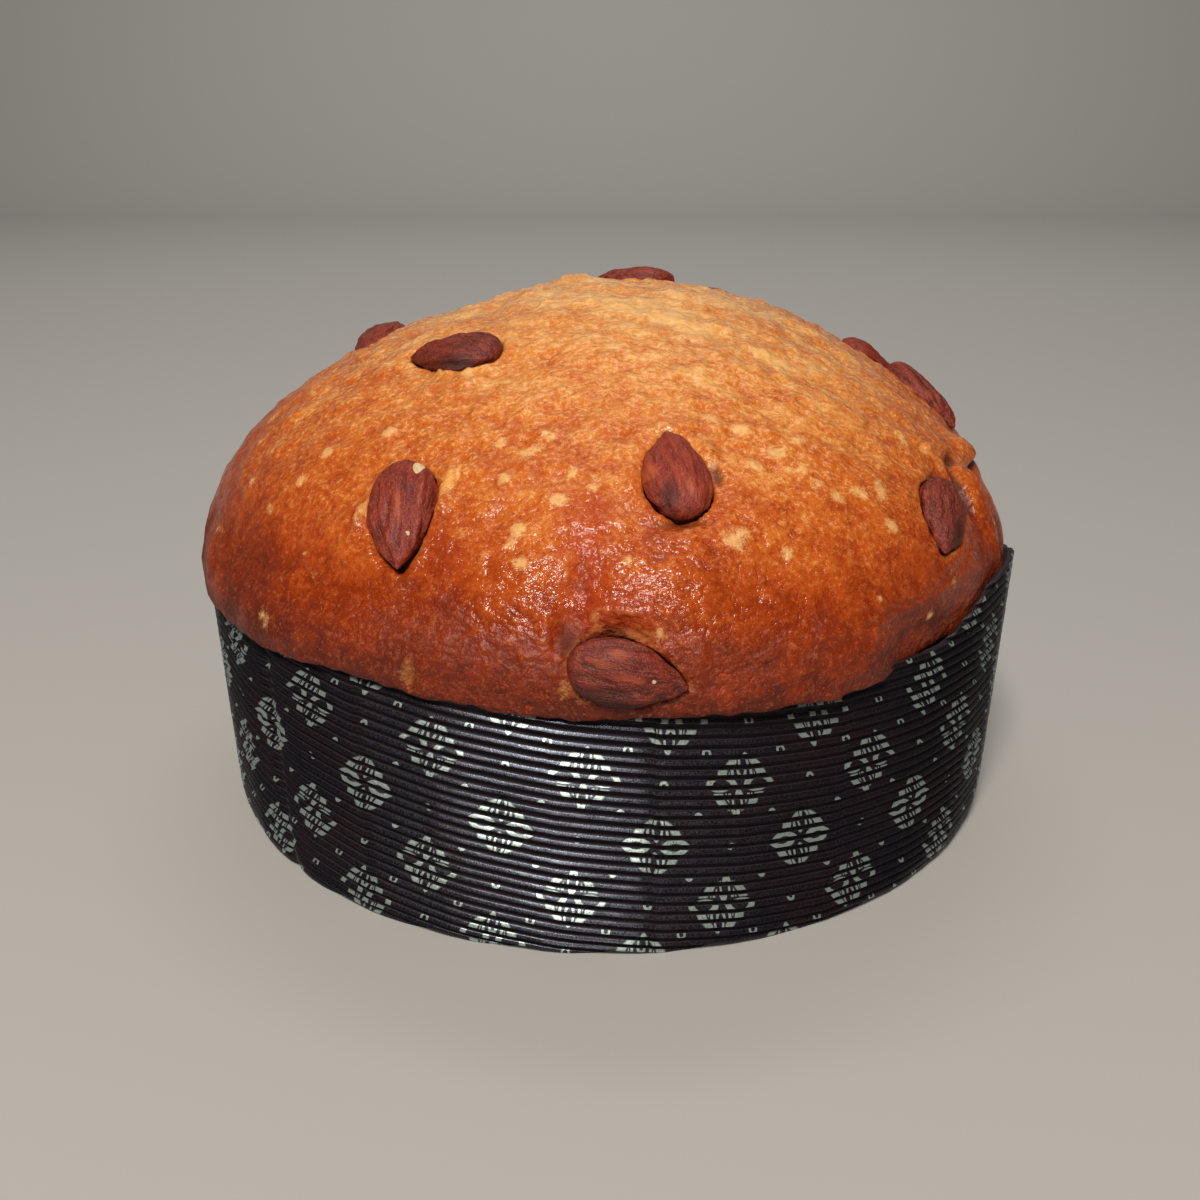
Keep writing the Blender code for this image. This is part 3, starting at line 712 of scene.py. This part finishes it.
def make_bread(finish):
    """The loaf: the crust as a bent disk of points, a lip, an underside and the plug in the case.

    The crust is the dome moved along its normal by its relief. Round each almond it falls to a
    narrow gap, and the points beside the almond's outline are drawn onto that line.
    """
    circle, turn, outermost = disk_grid(CRUST_CIRCLES)
    share = even_rises(CRUST_CIRCLES)[circle]
    ring = np.stack([np.sin(turn), np.cos(turn), 0.0 * turn], axis=1) * LIP_REACH
    uneven = sum(high * MM * ripple(ring, size * MM, seed) for high, size, seed in LIP_UNEVEN)
    low = lip_rise(turn) + uneven / LIP_REACH
    rise = np.pi / 2.0 - (np.pi / 2.0 - low) * share
    points = dome_point(turn, rise)
    outward = dome_axes(turn, rise)[2]
    blister = blister_field(points)
    height = crust_relief(points, rise) + 0.22 * MM * blister - CRUST_INSET
    pale = np.zeros(len(points))
    painted_cleft_shade = np.zeros(len(points))
    for number, (_, _, _, _, sink) in enumerate(ALMONDS):
        middle = almond_frame(number)[1]
        near = np.flatnonzero(np.linalg.norm(points - middle, axis=1) < POCKET_REACH)
        off, way, scale = pocket_fields(points[near], number)
        uneven = 0.5 + 0.5 * np.tanh(1.5 * ripple(points[near], 9.0 * MM, 80 + number))
        wall = 1.0 - step_up(off, -1.1 * MM, 0.1 * MM)
        depth = 0.5 * ALMOND_SIZE[2] * scale + POCKET_CLEAR
        fall = (sink + POCKET_DROP) * np.exp(-np.maximum(off, 0.0) / (0.8 * MM)) * (1.0 - wall)
        collar = COLLAR_HEIGHT * uneven * np.exp(-((off - COLLAR_PLACE) / COLLAR_HALF) ** 2)
        height[near] += collar - fall - wall * (depth + sink)
        halo = np.exp(-np.maximum(off - 0.4 * MM, 0.0) / (1.4 * MM)) * step_up(off, 0.0, 0.8 * MM)
        pale[near] = np.maximum(pale[near], (0.2 + 0.8 * uneven) * halo)
        # Painted shade in the narrow gap along the almond's outline
        painted_cleft_shade[near] = np.maximum(painted_cleft_shade[near], 1.0 - step_up(off, -0.2 * MM, 0.45 * MM))
        points[near] += way * (-0.85 * off * np.exp(-(off / (0.8 * MM)) ** 2))[:, None]
    folded = sum(fold[4] * MM * patch_field(points, (fold,))[0] for fold in FOLDS)
    height += folded
    # Painted shade in the folds that sink into the crust
    painted_cleft_shade = np.maximum(painted_cleft_shade, np.clip(-folded / FOLD_SHADE_DEPTH, 0.0, 1.0))
    pale = np.maximum(pale, np.clip(folded / FOLD_PALE, 0.0, 0.45))
    torn, yellow = patch_field(points, TORN)
    height += 0.5 * MM * torn * ripple(points, 2.6 * MM, 23)
    points = behind_paper(points + outward * height[:, None], turn)
    flush = np.zeros(len(points))
    for patch in FLUSHES:
        flush = np.maximum(flush, patch[4] * patch_field(points, (patch,))[0])

    edge = points[outermost]
    edge_turn = turn[outermost]
    edge_radius = np.hypot(edge[:, 0], edge[:, 1])
    rim = rim_height(edge_turn) + GAP
    outside = np.minimum(wall_radius(rim) + GAP, edge_radius - 0.5 * MM)
    lining = np.minimum(wall_radius(rim) - FLUTE_DEPTH - PAPER_LAYERS - GAP, edge_radius - 1.0 * MM)
    foot = wall_radius(2.0 * CRIMP_HEIGHT) - FLUTE_DEPTH - PAPER_LAYERS - GAP
    covered = edge_radius > wall_radius(rim) + GAP
    over = np.where(covered, rim, edge[:, 2] - 0.4 * MM)
    rings = (
        (edge_radius - LIP_TURNED_IN, edge[:, 2] - LIP_TURNED_DOWN),
        (outside, edge[:, 2] - LIP_TURNED_DOWN),
        (outside, over),
        (lining, over),
        (np.minimum(foot, lining), 2.0 * CRIMP_HEIGHT + 0.0 * rim),
        (np.minimum(foot, lining) - 2.0 * MM, BOTTOM_THICKNESS + GAP + 0.0 * rim),
    )
    count = len(outermost)
    first = len(points)
    skirt = [np.stack([r * np.sin(edge_turn), -r * np.cos(edge_turn), z], axis=1) for r, z in rings]
    everything = np.concatenate([points] + skirt + [[[0.0, 0.0, BOTTOM_THICKNESS + GAP]]])
    side = 2 * CRUST_CIRCLES + 1
    faces = quads(side, side, closed=False)
    loops = [outermost] + [first + n * count + np.arange(count) for n in range(len(rings))]
    for above, below in zip(loops[:-1], loops[1:]):
        strip = np.stack([above, below, np.roll(below, -1), np.roll(above, -1)], axis=1)
        faces = np.concatenate([faces, strip])
    faces = faces.tolist() + fan(loops[-1][::-1], len(everything) - 1)
    bread = new_piece("loaf", everything, faces, [finish], ["bread"])
    outwards(bread)

    # The underside and the plug are baked dark and have none of the other marks
    extra = len(everything) - len(points)
    fields = {"blister": blister, "pale": pale, "painted_cleft_shade": painted_cleft_shade, "torn": torn, "yellow": yellow,
              "flush": flush}
    fields = {name: np.append(values, np.zeros(extra)) for name, values in fields.items()}
    fields["bake_and_shade"] = np.append(bake_and_shade_field(points, turn), np.ones(extra))
    give_points(bread, fields)


def behind_paper(points, turn):
    """Keeps the drawn-in crust inside the lining up to the rim, and lets it swell over the rim.

    The most radius a point may have is the lining's below the rim and grows smoothly above it.
    """
    off = np.degrees(np.abs(wrapped(turn - np.radians(DRAWN_IN_TURN))))
    outside = step_up(off, DRAWN_IN_HALF - 3.0 * DRAWN_IN_FADE, DRAWN_IN_HALF + 2.0 * DRAWN_IN_FADE)
    rim = rim_height(turn)
    over = step_up(points[:, 2], rim, rim + SWELLING_RISE)
    most = wall_radius(rim) - FLUTE_DEPTH - PAPER_LAYERS - DRAWN_IN_PLAY
    most = most + SWELLING_OVER * over + SWELLING_BESIDE * outside
    most = np.where(outside < 1.0, most, 1.0)
    radius = np.hypot(points[:, 0], points[:, 1])
    held = points.copy()
    held[:, :2] *= (np.minimum(radius, most) / np.maximum(radius, 1e-6))[:, None]
    return held


def bake_and_shade_field(points, turn):
    """How dark the crust is: 0 on the pale top to 1 at the lip, with slow clouds. Low down it is
    partly baked browner and partly painted shade.
    """
    bake_and_shade = np.interp(points[:, 2], BAKE_AND_SHADE_HEIGHTS, BAKE_AND_SHADE_TONES)
    # Painted light lifting the right shoulder
    bake_and_shade -= PAINTED_LIGHT_SHOULDER * np.exp(-0.5 * (wrapped(turn - SHOULDER_TURN) / SHOULDER_HALF) ** 2)
    clouds = 0.025 * ripple(points, 30.0 * MM, 11) + 0.025 * ripple(points, 12.0 * MM, 12)
    return np.clip(bake_and_shade + clouds, 0.0, 1.0)


def crust_skin():
    """Baked sweet crust: tan on top to deep orange-brown low down, finely wrinkled and redder in
    its hollows, buttery and glossy, with pale dry blisters and torn yellowish crumb. The darkening
    low down is partly painted shade, its clefts and the gaps round the almonds are darkened with
    painted shade, and some of its pale grains are painted glints.
    """
    made, node, finish = new_material("browned buttery crust")
    where = node("ShaderNodeTexCoord", out="Object")
    names = ("bake_and_shade", "blister", "pale", "torn", "yellow", "flush", "painted_cleft_shade")
    bake_and_shade, blister, pale, torn, yellow, flush, painted_cleft_shade = [
        node(ATTRIBUTE, out="Fac", attribute_name=name) for name in names]
    flat = node(VECTOR, (where, (1.0, 1.0, 1.5)), operation="MULTIPLY")
    # Each pattern's place, size in mm, detail, roughness and distortion
    patterns = (
        (flat, 3.4, 2.0, 0.5, 0.15), (where, 1.15, 2.0, 0.5, 0.0), (where, 0.36, 1.0, 0.5, 0.0),
        (where, 6.0, 3.0, 0.55, 0.0), (where, 17.0, 2.0, 0.5, 0.0),
    )
    wrinkle, pimple, grain, mottle, cloud = [
        node(NOISE, {"Vector": place, "Scale": 1.0 / (size * MM), "Detail": detail,
                     "Roughness": rough, "Distortion": bent})
        for place, size, detail, rough, bent in patterns]

    tone = bake_and_shade
    for pattern, weight in ((mottle, 0.42), (wrinkle, -0.34), (pimple, -0.34), (grain, -0.26)):
        tone = node(MATH, (pattern, weight, tone), operation="MULTIPLY_ADD")
    tone = node(MATH, (tone, 0.275), operation="ADD")
    crust = node(RAMP, {"Fac": tone}, out="Color", shades=CRUST_SHADES)
    # Pale sugar grains, partly painted glints of the glossy crust, mostly where the crust is light
    sugar_and_glint = node(MATH, (grain, 0.55, pimple), operation="MULTIPLY_ADD")
    sugar_and_glint = node(RANGE, (sugar_and_glint, 0.83, 1.0, 0.0, 0.42))
    light = node(RANGE, (bake_and_shade, 0.25, 0.60, 1.0, 0.12))
    sugar_and_glint = node(MATH, (sugar_and_glint, light), operation="MULTIPLY")
    # Redder pits between the pimples, in clouds and mostly low down, and flushed places
    hollow = node(RANGE, (pimple, 0.39, 0.32))
    for limits in ((cloud, 0.40, 0.60, 0.25, 1.0), (bake_and_shade, 0.1, 0.5, 0.15, 0.75)):
        share = node(RANGE, limits)
        hollow = node(MATH, (hollow, share), operation="MULTIPLY")
    ruddy = node(MATH, (flush, 0.6), operation="MULTIPLY")
    # The pale crust round the almonds, the blisters and the torn crumb, all with ragged edges
    edge = node(MATH, (mottle, 0.6, pale), operation="MULTIPLY_ADD")
    edge = node(MATH, (pimple, 0.6, edge), operation="MULTIPLY_ADD")
    edge = node(RANGE, (edge, 1.0, 1.65, 0.0, 0.6))
    spot = node(MATH, (pimple, 0.9, blister), operation="MULTIPLY_ADD")
    spot = node(MATH, (grain, 0.9, spot), operation="MULTIPLY_ADD")
    spot = node(RANGE, (spot, 1.10, 2.30, 0.0, 0.74), interpolation_type="SMOOTHSTEP")
    ragged = node(MATH, (pimple, 0.9, torn), operation="MULTIPLY_ADD")
    ragged = node(MATH, (grain, 0.7, ragged), operation="MULTIPLY_ADD")
    ragged = node(RANGE, (ragged, 1.05, 1.80, 0.0, 0.75))
    crumb = node(MIX, {"Factor": yellow, "A": CRUMB_COLOUR, "B": YELLOW_CRUMB_COLOUR}, **COLOURS)
    # Painted shade in the clefts and the gaps round the almonds, less on torn crumb
    deep = node(MATH, (torn, -0.7, painted_cleft_shade), operation="MULTIPLY_ADD")
    deep = node(RANGE, (deep, 0.22, 0.85, 0.0, 0.90))
    for share, colour in ((sugar_and_glint, SUGAR_AND_GLINT_COLOUR), (hollow, HOLLOW_COLOUR), (ruddy, RUDDY_COLOUR),
                          (edge, HALO_COLOUR), (spot, BLISTER_COLOUR), (ragged, crumb),
                          (deep, PAINTED_CLEFT_SHADE_COLOUR)):
        crust = node(MIX, {"Factor": share, "A": crust, "B": colour}, **COLOURS)

    # Buttery, duller where it is dry, at the lip and in the clefts
    rough = node(RANGE, (mottle, 0.35, 0.65, 0.11, 0.25))
    dry = node(MATH, (spot, ragged), operation="MAXIMUM")
    rough = node(MATH, (dry, 0.25, rough), operation="MULTIPLY_ADD")
    lip = node(RANGE, (bake_and_shade, 0.66, 0.82, 0.0, 0.36))
    rough = node(MATH, (rough, lip), operation="ADD")
    rough = node(MATH, (painted_cleft_shade, 0.35, rough), operation="MULTIPLY_ADD")
    height = 0.0
    for pattern, weight in ((wrinkle, 0.80), (pimple, 0.36), (grain, 0.05), (hollow, -0.12)):
        height = node(MATH, (pattern, weight, height), operation="MULTIPLY_ADD")
    calm = node(RANGE, (bake_and_shade, 0.10, 0.45, 0.60, 1.0))
    height = node(MATH, (height, calm), operation="MULTIPLY")
    bump = node(BUMP, {"Height": height, "Strength": 1.0, "Distance": 1.0 * MM}, out="Normal")
    finish({"Base Color": crust, "Roughness": rough, "Normal": bump, "IOR": 1.38})
    return made


# Paper case

# One flute from valley to valley, going up: phases and heights of its profile
FLUTE_PHASES = (0.0, 0.27, 0.33, 0.36, 0.57, 0.61, 0.68)
FLUTE_HEIGHTS = (0.0, 0.80, 1.0, 0.975, 0.68, 0.62, 0.20)
FLUTE_DEEPEST = 0.0015
CASE_COLUMNS = 480
DOUBLED_POINTS = 0.000001
CREASE_TURN = np.radians(12.0)
CREASE_FIRST = np.radians(4.8)
CREASE_DEPTH = 0.00016
# Half a crease's width as a share of a facet, and how far the flutes may jump at one
CREASE_HALF = 0.05
CREASE_SHIFT = 0.30 * MM
FACET_DEPTH = 0.00030
PRINT_COLUMN = np.radians(18.0)
PRINT_ROW = 0.0290
PRINT_FIRST_TURN = np.radians(-3.8)
PRINT_FIRST_HEIGHT = 0.0201
PRINT_LEAN = 0.118
PRINT_LEAN_HEIGHT = 0.0346
STRONG_FOLD_TURN = np.radians(-48.0)
STRONG_FOLD_HALF = np.radians(1.1)
STRONG_FOLD_DEPTH = 0.8 * MM
RIM_UNEVEN = 0.10 * MM
RIM_LOWER = 0.15 * MM
LINING_PLAY = 0.1 * MM
# The crests: their mean share of the full height, and its slow and quick change round the case
CRUSHED = (0.94, 0.05, 0.03)
CREST_DENTS = 0.05 * MM
INNER_CORNER = 1.6 * MM


def flute_swell(phase):
    """Height of a flute at its phase: 0 in the sharp valley, 1 on the crest, flatter on top."""
    return np.interp(phase, FLUTE_PHASES + (1.0,), FLUTE_HEIGHTS + (0.0,))


def make_case(outside, inside):
    """The case: rows that follow the slanted flutes, cut level at the bottom and at the rim.

    The outside's radius is the wall's, less the flute's depth times one minus its swell, less the
    shallow facets between the upright creases. A row beyond the rim or the bottom falls onto it,
    and those doubled points are then merged.
    """
    turn = np.arange(CASE_COLUMNS) * 2.0 * np.pi / CASE_COLUMNS - np.pi
    slant = SLANT_RISE * np.sin(turn + SLANT_TURN)
    ring = np.stack([np.sin(turn), np.cos(turn), 0.0 * turn], axis=1) * CASE_RIM_RADIUS
    rim = rim_height(turn) + RIM_UNEVEN * ripple(ring, 3.0 * MM, 35) - RIM_LOWER
    first = int(np.floor(-SLANT_RISE / FLUTE_PITCH)) - 1
    last = int(np.ceil((CASE_HEIGHT + RIM_RISE + SLANT_RISE) / FLUTE_PITCH)) + 1
    flutes = np.arange(first, last)[:, None]
    along = (flutes + np.array(FLUTE_PHASES)).ravel() * FLUTE_PITCH
    span = (turn - CREASE_FIRST) / CREASE_TURN
    segment = np.floor(span).astype(int)
    draw = np.random.default_rng(3)
    shift = draw.uniform(-CREASE_SHIFT, CREASE_SHIFT, 64)[segment % 64]
    height = np.clip(along[:, None] - slant + shift, 0.0, rim)
    phase = ((height + slant - shift) / FLUTE_PITCH) % 1.0
    span = span - segment
    facet = FACET_DEPTH * (1.0 - (2.0 * span - 1.0) ** 2)
    crease = CREASE_DEPTH * np.exp(-(np.minimum(span, 1.0 - span) / CREASE_HALF) ** 2)
    off = wrapped(turn - STRONG_FOLD_TURN) / STRONG_FOLD_HALF
    fold = STRONG_FOLD_DEPTH * np.exp(-off ** 2)
    spread = np.stack([ring[:, 0] + 0.0 * height, ring[:, 1] + 0.0 * height, height], axis=-1)
    mean, slow, quick = CRUSHED
    crushed = mean + slow * ripple(spread, 22.0 * MM, 31) + quick * ripple(spread, 5.0 * MM, 32)
    depth = FLUTE_DEEPEST * np.clip(crushed, 0.5, 1.0)
    radius = wall_radius(height) - depth * (1.0 - flute_swell(phase)) - facet - crease - fold
    radius = radius - CREST_DENTS * (1.0 + np.abs(ripple(spread, 9.0 * MM, 33)))
    rows = len(along)

    lining = wall_radius(rim) - FLUTE_DEPTH - PAPER_LAYERS - LINING_PLAY
    foot = wall_radius(2.0 * CRIMP_HEIGHT) - FLUTE_DEPTH - PAPER_LAYERS - LINING_PLAY
    inner = ((lining, rim), (foot + 0.0 * rim, 2.0 * CRIMP_HEIGHT + 0.0 * rim),
             (foot - INNER_CORNER + 0.0 * rim, BOTTOM_THICKNESS + 0.0 * rim))
    radii = np.concatenate([radius] + [r[None] for r, _ in inner])
    heights = np.concatenate([height] + [z[None] for _, z in inner])
    points = np.stack([radii * np.sin(turn), -radii * np.cos(turn), heights], axis=-1)
    middles = [[0.0, 0.0, 0.0], [0.0, 0.0, BOTTOM_THICKNESS]]
    points = np.concatenate([points.reshape(-1, 3), middles])
    total = rows + len(inner)
    faces = quads(total, CASE_COLUMNS)
    around = np.arange(CASE_COLUMNS)
    middle = total * CASE_COLUMNS
    fans = fan(around[::-1], middle) + fan(middle - CASE_COLUMNS + around, middle + 1)
    case = new_piece("fluted_case", points, faces.tolist() + fans, [outside, inside],
                     ["paper_case"])
    crest = np.concatenate([flute_swell(phase), np.zeros((len(inner), CASE_COLUMNS))]).ravel()
    give_points(case, {"crest": np.append(crest, [0.0, 0.0])})

    inner_rise = np.tile(rim + slant, (len(inner), 1))
    upward = np.concatenate([height + slant - shift, inner_rise])
    upward = np.concatenate([upward, upward[:, :1]], axis=1)
    round_turn = np.concatenate([turn, [np.pi]])
    lean = (upward - PRINT_LEAN_HEIGHT) / CASE_BASE_RADIUS * PRINT_LEAN
    lean = lean * np.cos(round_turn + SLANT_TURN)
    across = (round_turn - lean - PRINT_FIRST_TURN) / PRINT_COLUMN
    upward = (upward - PRINT_FIRST_HEIGHT) / PRINT_ROW
    row, column = np.divmod(np.arange((total - 1) * CASE_COLUMNS), CASE_COLUMNS)
    corners = ((0, 0), (0, 1), (1, 1), (1, 0))
    u = np.stack([across[row + up, column + right] for up, right in corners], axis=1)
    v = np.stack([upward[row + up, column + right] for up, right in corners], axis=1)
    flat = np.concatenate([np.stack([u, v], axis=-1).reshape(-1, 2), np.zeros((3 * len(fans), 2))])
    uv = case.data.uv_layers.new(name="print")
    uv.data.foreach_set("uv", flat.astype(np.float32).ravel())
    plain = np.zeros(len(faces) + len(fans), dtype=np.int32)
    plain[(rows - 1) * CASE_COLUMNS:] = 1
    case.data.polygons.foreach_set("material_index", plain)
    outwards(case, DOUBLED_POINTS)


# The printed ornament, in mm from its middle: rings as middle, half sizes and half line width
LATTICE_X = CASE_BASE_RADIUS * PRINT_COLUMN / MM
LATTICE_Y = PRINT_ROW / MM
LYING_RING = ((3.95, 0.0), (2.60, 1.36), 0.33)
UPRIGHT_RING = ((0.0, 4.30), (0.92, 2.50), 0.21)
SMALL_RING = ((0.70, 0.70), 0.24)
LEAF_OUTSIDE = (5.5, 6.3)
LEAF_INSIDE = (3.55, 5.5)
LEAF_LOWEST = 1.95
RING_CLEAR = (1.45, 3.15)
# Upright strokes between the leaves and the upright rings: place and half width
STROKES = ((1.98, 0.28), (2.70, 0.14))


def oval_reach(node, where, middle, half):
    """Distance from an oval's middle, counted in its half sizes."""
    off = node(VECTOR, (where, (*middle, 0.0)), operation="SUBTRACT")
    scale = (1.0 / half[0], 1.0 / half[1], 0.0)
    off = node(VECTOR, (off, scale), operation="MULTIPLY")
    return node(VECTOR, (off,), out="Value", operation="LENGTH")


def line_mask(node, value, middle, half):
    """1 where a value lies within half a width of a middle value, with a soft edge."""
    off = node(MATH, (value, middle), operation="SUBTRACT")
    off = node(MATH, (off,), operation="ABSOLUTE")
    return node(RANGE, (off, 1.2 * half, 0.8 * half))


def ring_mask(node, where, middle, half, line):
    """1 on the line of an oval ring in a flat pattern given in mm."""
    return line_mask(node, oval_reach(node, where, middle, half), 1.0, line / min(half))


def ornament_mask(node):
    """1 where the case is printed: rosettes on a staggered lattice with small rings between them.

    A rosette is two lying rings, two upright rings, and between them four curved leaves with
    upright strokes inside them.
    """
    flat = node("ShaderNodeUVMap", uv_map="print")
    size = (LATTICE_X, LATTICE_Y, 0.0)
    half = (LATTICE_X / 2.0, LATTICE_Y / 2.0, 0.0)
    # The place within one cell, folded about its middle, and then about the nearer rosette's
    where = node(VECTOR, (flat, size), operation="MULTIPLY")
    back = node(VECTOR, (where, size, (0.0, 0.0, 0.0)), operation="WRAP")
    back = node(VECTOR, (back, half), operation="SUBTRACT")
    far = node(VECTOR, (back,), operation="ABSOLUTE")
    near = node(VECTOR, (half, far), operation="SUBTRACT")
    weights = (2.0 / LATTICE_X, 2.0 / LATTICE_Y, 0.0)
    share = node(VECTOR, (near, weights), out="Value", operation="DOT_PRODUCT")
    second = node(MATH, (share, 1.0), operation="GREATER_THAN")
    inside = node(MIX, {"Factor": second, 4: near, 5: far}, out=1, data_type="VECTOR")
    masks = [ring_mask(node, inside, *LYING_RING), ring_mask(node, inside, *UPRIGHT_RING)]
    for middle in ((half[0] / 2.0, half[1] / 2.0), half[:2], (half[0], 0.0), (0.0, half[1])):
        masks.append(ring_mask(node, inside, middle, *SMALL_RING))
    x, y = [node("ShaderNodeSeparateXYZ", (inside,), out=axis) for axis in ("X", "Y")]
    outer = oval_reach(node, inside, (0.0, 0.0), LEAF_OUTSIDE)
    outer = node(RANGE, (outer, 1.03, 0.97))
    inner = oval_reach(node, inside, (0.0, 0.0), LEAF_INSIDE)
    leaf = node(RANGE, (inner, 0.98, 1.04))
    short = node(RANGE, (inner, 0.93, 0.87))
    for place, half_width in STROKES:
        stroke = line_mask(node, x, place, half_width)
        stroke = node(MATH, (stroke, short), operation="MULTIPLY")
        leaf = node(MATH, (leaf, stroke), operation="MAXIMUM")
    above = node(RANGE, (y, LEAF_LOWEST - 0.1, LEAF_LOWEST + 0.1))
    clear = oval_reach(node, inside, UPRIGHT_RING[0], RING_CLEAR)
    clear = node(RANGE, (clear, 0.95, 1.05))
    for mask in (outer, above, clear):
        leaf = node(MATH, (leaf, mask), operation="MULTIPLY")
    for mask in masks:
        leaf = node(MATH, (leaf, mask), operation="MAXIMUM")
    return leaf


def printed_paper():
    """Dark greaseproof baking paper, polished on its crests and matt in its valleys, with a pale
    ornament printed on it and worn places that are browner. Its valleys are darkened nearly to
    black with painted shade.
    """
    made, node, finish = new_material("dark greaseproof paper")
    where = node("ShaderNodeTexCoord", out="Object")
    crest = node(ATTRIBUTE, out="Fac", attribute_name="crest")
    fibre = node(NOISE, {"Vector": where, "Scale": 1.0 / (0.45 * MM), "Detail": 4.0,
                         "Roughness": 0.7})
    cloud = node(NOISE, {"Vector": where, "Scale": 1.0 / (14.0 * MM), "Detail": 3.0})
    speckle = node(NOISE, {"Vector": where, "Scale": 1.0 / (0.40 * MM), "Detail": 2.0})
    speckle = node(RANGE, (speckle, 0.35, 0.65))
    polish = node(RANGE, (crest, 0.45, 0.60))
    worn = node(RANGE, (cloud, 0.44, 0.66, 0.0, 0.5))
    thin = node(RANGE, (fibre, 0.35, 0.62, 1.0, 0.80))
    ink = node(MATH, (ornament_mask(node), thin), operation="MULTIPLY")
    # Painted shade: the valleys between the polished crests are darkened nearly to black
    painted_valley_shade = node(RANGE, (polish, 0.0, 1.0, 0.97, 0.0))
    paper = PAPER_COLOUR
    for share, colour in ((speckle, SPECKLE_COLOUR), (worn, WORN_PAPER_COLOUR), (ink, INK_COLOUR),
                          (painted_valley_shade, PAINTED_VALLEY_SHADE_COLOUR)):
        paper = node(MIX, {"Factor": share, "A": paper, "B": colour}, **COLOURS)
    # The ink has a metallic sheen
    sheen = node(MATH, (ink, 0.72), operation="MULTIPLY")
    rough = node(RANGE, (polish, 0.0, 1.0, 0.85, 0.20))
    rough = node(MATH, (speckle, 0.18, rough), operation="MULTIPLY_ADD")
    rough = node(MATH, (ink, 0.04, rough), operation="MULTIPLY_ADD")
    bump = node(BUMP, {"Height": fibre, "Strength": 1.0, "Distance": 0.035 * MM}, out="Normal")
    finish({"Base Color": paper, "Metallic": sheen, "Roughness": rough, "Normal": bump,
            "IOR": 1.60, "Specular Tint": PAPER_SHEEN})
    return made


def bare_paper():
    """The unprinted inside and bottom of the case: the same dark paper, duller."""
    made, node, finish = new_material("bare dark paper")
    where = node("ShaderNodeTexCoord", out="Object")
    fibre = node(NOISE, {"Vector": where, "Scale": 1.0 / (0.8 * MM), "Detail": 4.0,
                         "Roughness": 0.7})
    paper = node(MIX, {"Factor": fibre, "A": BARE_PAPER_COLOUR, "B": BARE_FIBRE_COLOUR},
                 **COLOURS)
    finish({"Base Color": paper, "Roughness": 0.6})
    return made


# Stage, lights and camera


def make_stage():
    """A pale floor that bends up into a backdrop, as one sheet: a profile carried along X."""
    arc = np.linspace(0.0, np.pi / 2.0, 24)
    y = np.concatenate([
        [STAGE_FRONT], STAGE_BACK + STAGE_BEND * np.sin(arc), [STAGE_BACK + STAGE_BEND]])
    z = np.concatenate([[0.0], STAGE_BEND * (1.0 - np.cos(arc)), [STAGE_TOP]])
    x = np.tile([-STAGE_HALF, STAGE_HALF], len(y))
    points = np.stack([x, np.repeat(y, 2), np.repeat(z, 2)], axis=1)
    mesh = bpy.data.meshes.new("stage")
    mesh.from_pydata(points.tolist(), [], quads(len(y), 2, closed=False).tolist())
    mesh.shade_smooth()
    stage = bpy.data.objects.new("stage", mesh)
    bpy.context.scene.collection.objects.link(stage)
    board, _, finish = new_material("pale matt board")
    finish({"Base Color": BOARD_COLOUR, "Roughness": 0.75})
    mesh.materials.append(board)


def area_light(name, place, aim, size, power, colour):
    """A square soft light at a place, aimed at a point."""
    lamp = bpy.data.lights.new(name, "AREA")
    lamp.size = size
    lamp.energy = power
    lamp.color = linear(colour)[:3]
    made = bpy.data.objects.new(name, lamp)
    bpy.context.scene.collection.objects.link(made)
    made.location = place
    made.rotation_euler = (Vector(aim) - Vector(place)).to_track_quat("-Z", "Y").to_euler()


def make_lights():
    """A soft light above in front, a low one behind the camera, one on the backdrop, and a pale
    world.
    """
    for light in LIGHTS:
        area_light(*light)
    world = bpy.data.worlds.new("pale room")
    bpy.context.scene.world = world
    world.use_nodes = True
    room = world.node_tree.nodes["Background"]
    room.inputs["Color"].default_value = linear(ROOM_COLOUR)
    room.inputs["Strength"].default_value = ROOM_STRENGTH


def make_camera():
    """The camera, at the photograph's place."""
    data = bpy.data.cameras.new("camera")
    data.lens = LENS_MM
    data.sensor_width = SENSOR_MM
    data.shift_x = -AXIS_OFF_MIDDLE / IMAGE_SIDE
    made = bpy.data.objects.new("camera", data)
    bpy.context.scene.collection.objects.link(made)
    made.location = CAMERA_PLACE
    made.rotation_euler = (np.pi / 2.0 - CAMERA_DOWN, 0.0, 0.0)
    bpy.context.scene.camera = made


make_case(printed_paper(), bare_paper())
make_bread(crust_skin())
nut_finish = almond_skin()
for number in range(len(ALMONDS)):
    make_almond(number, nut_finish)
make_stage()
make_lights()
make_camera()
bpy.context.scene.view_settings.view_transform = "Standard"
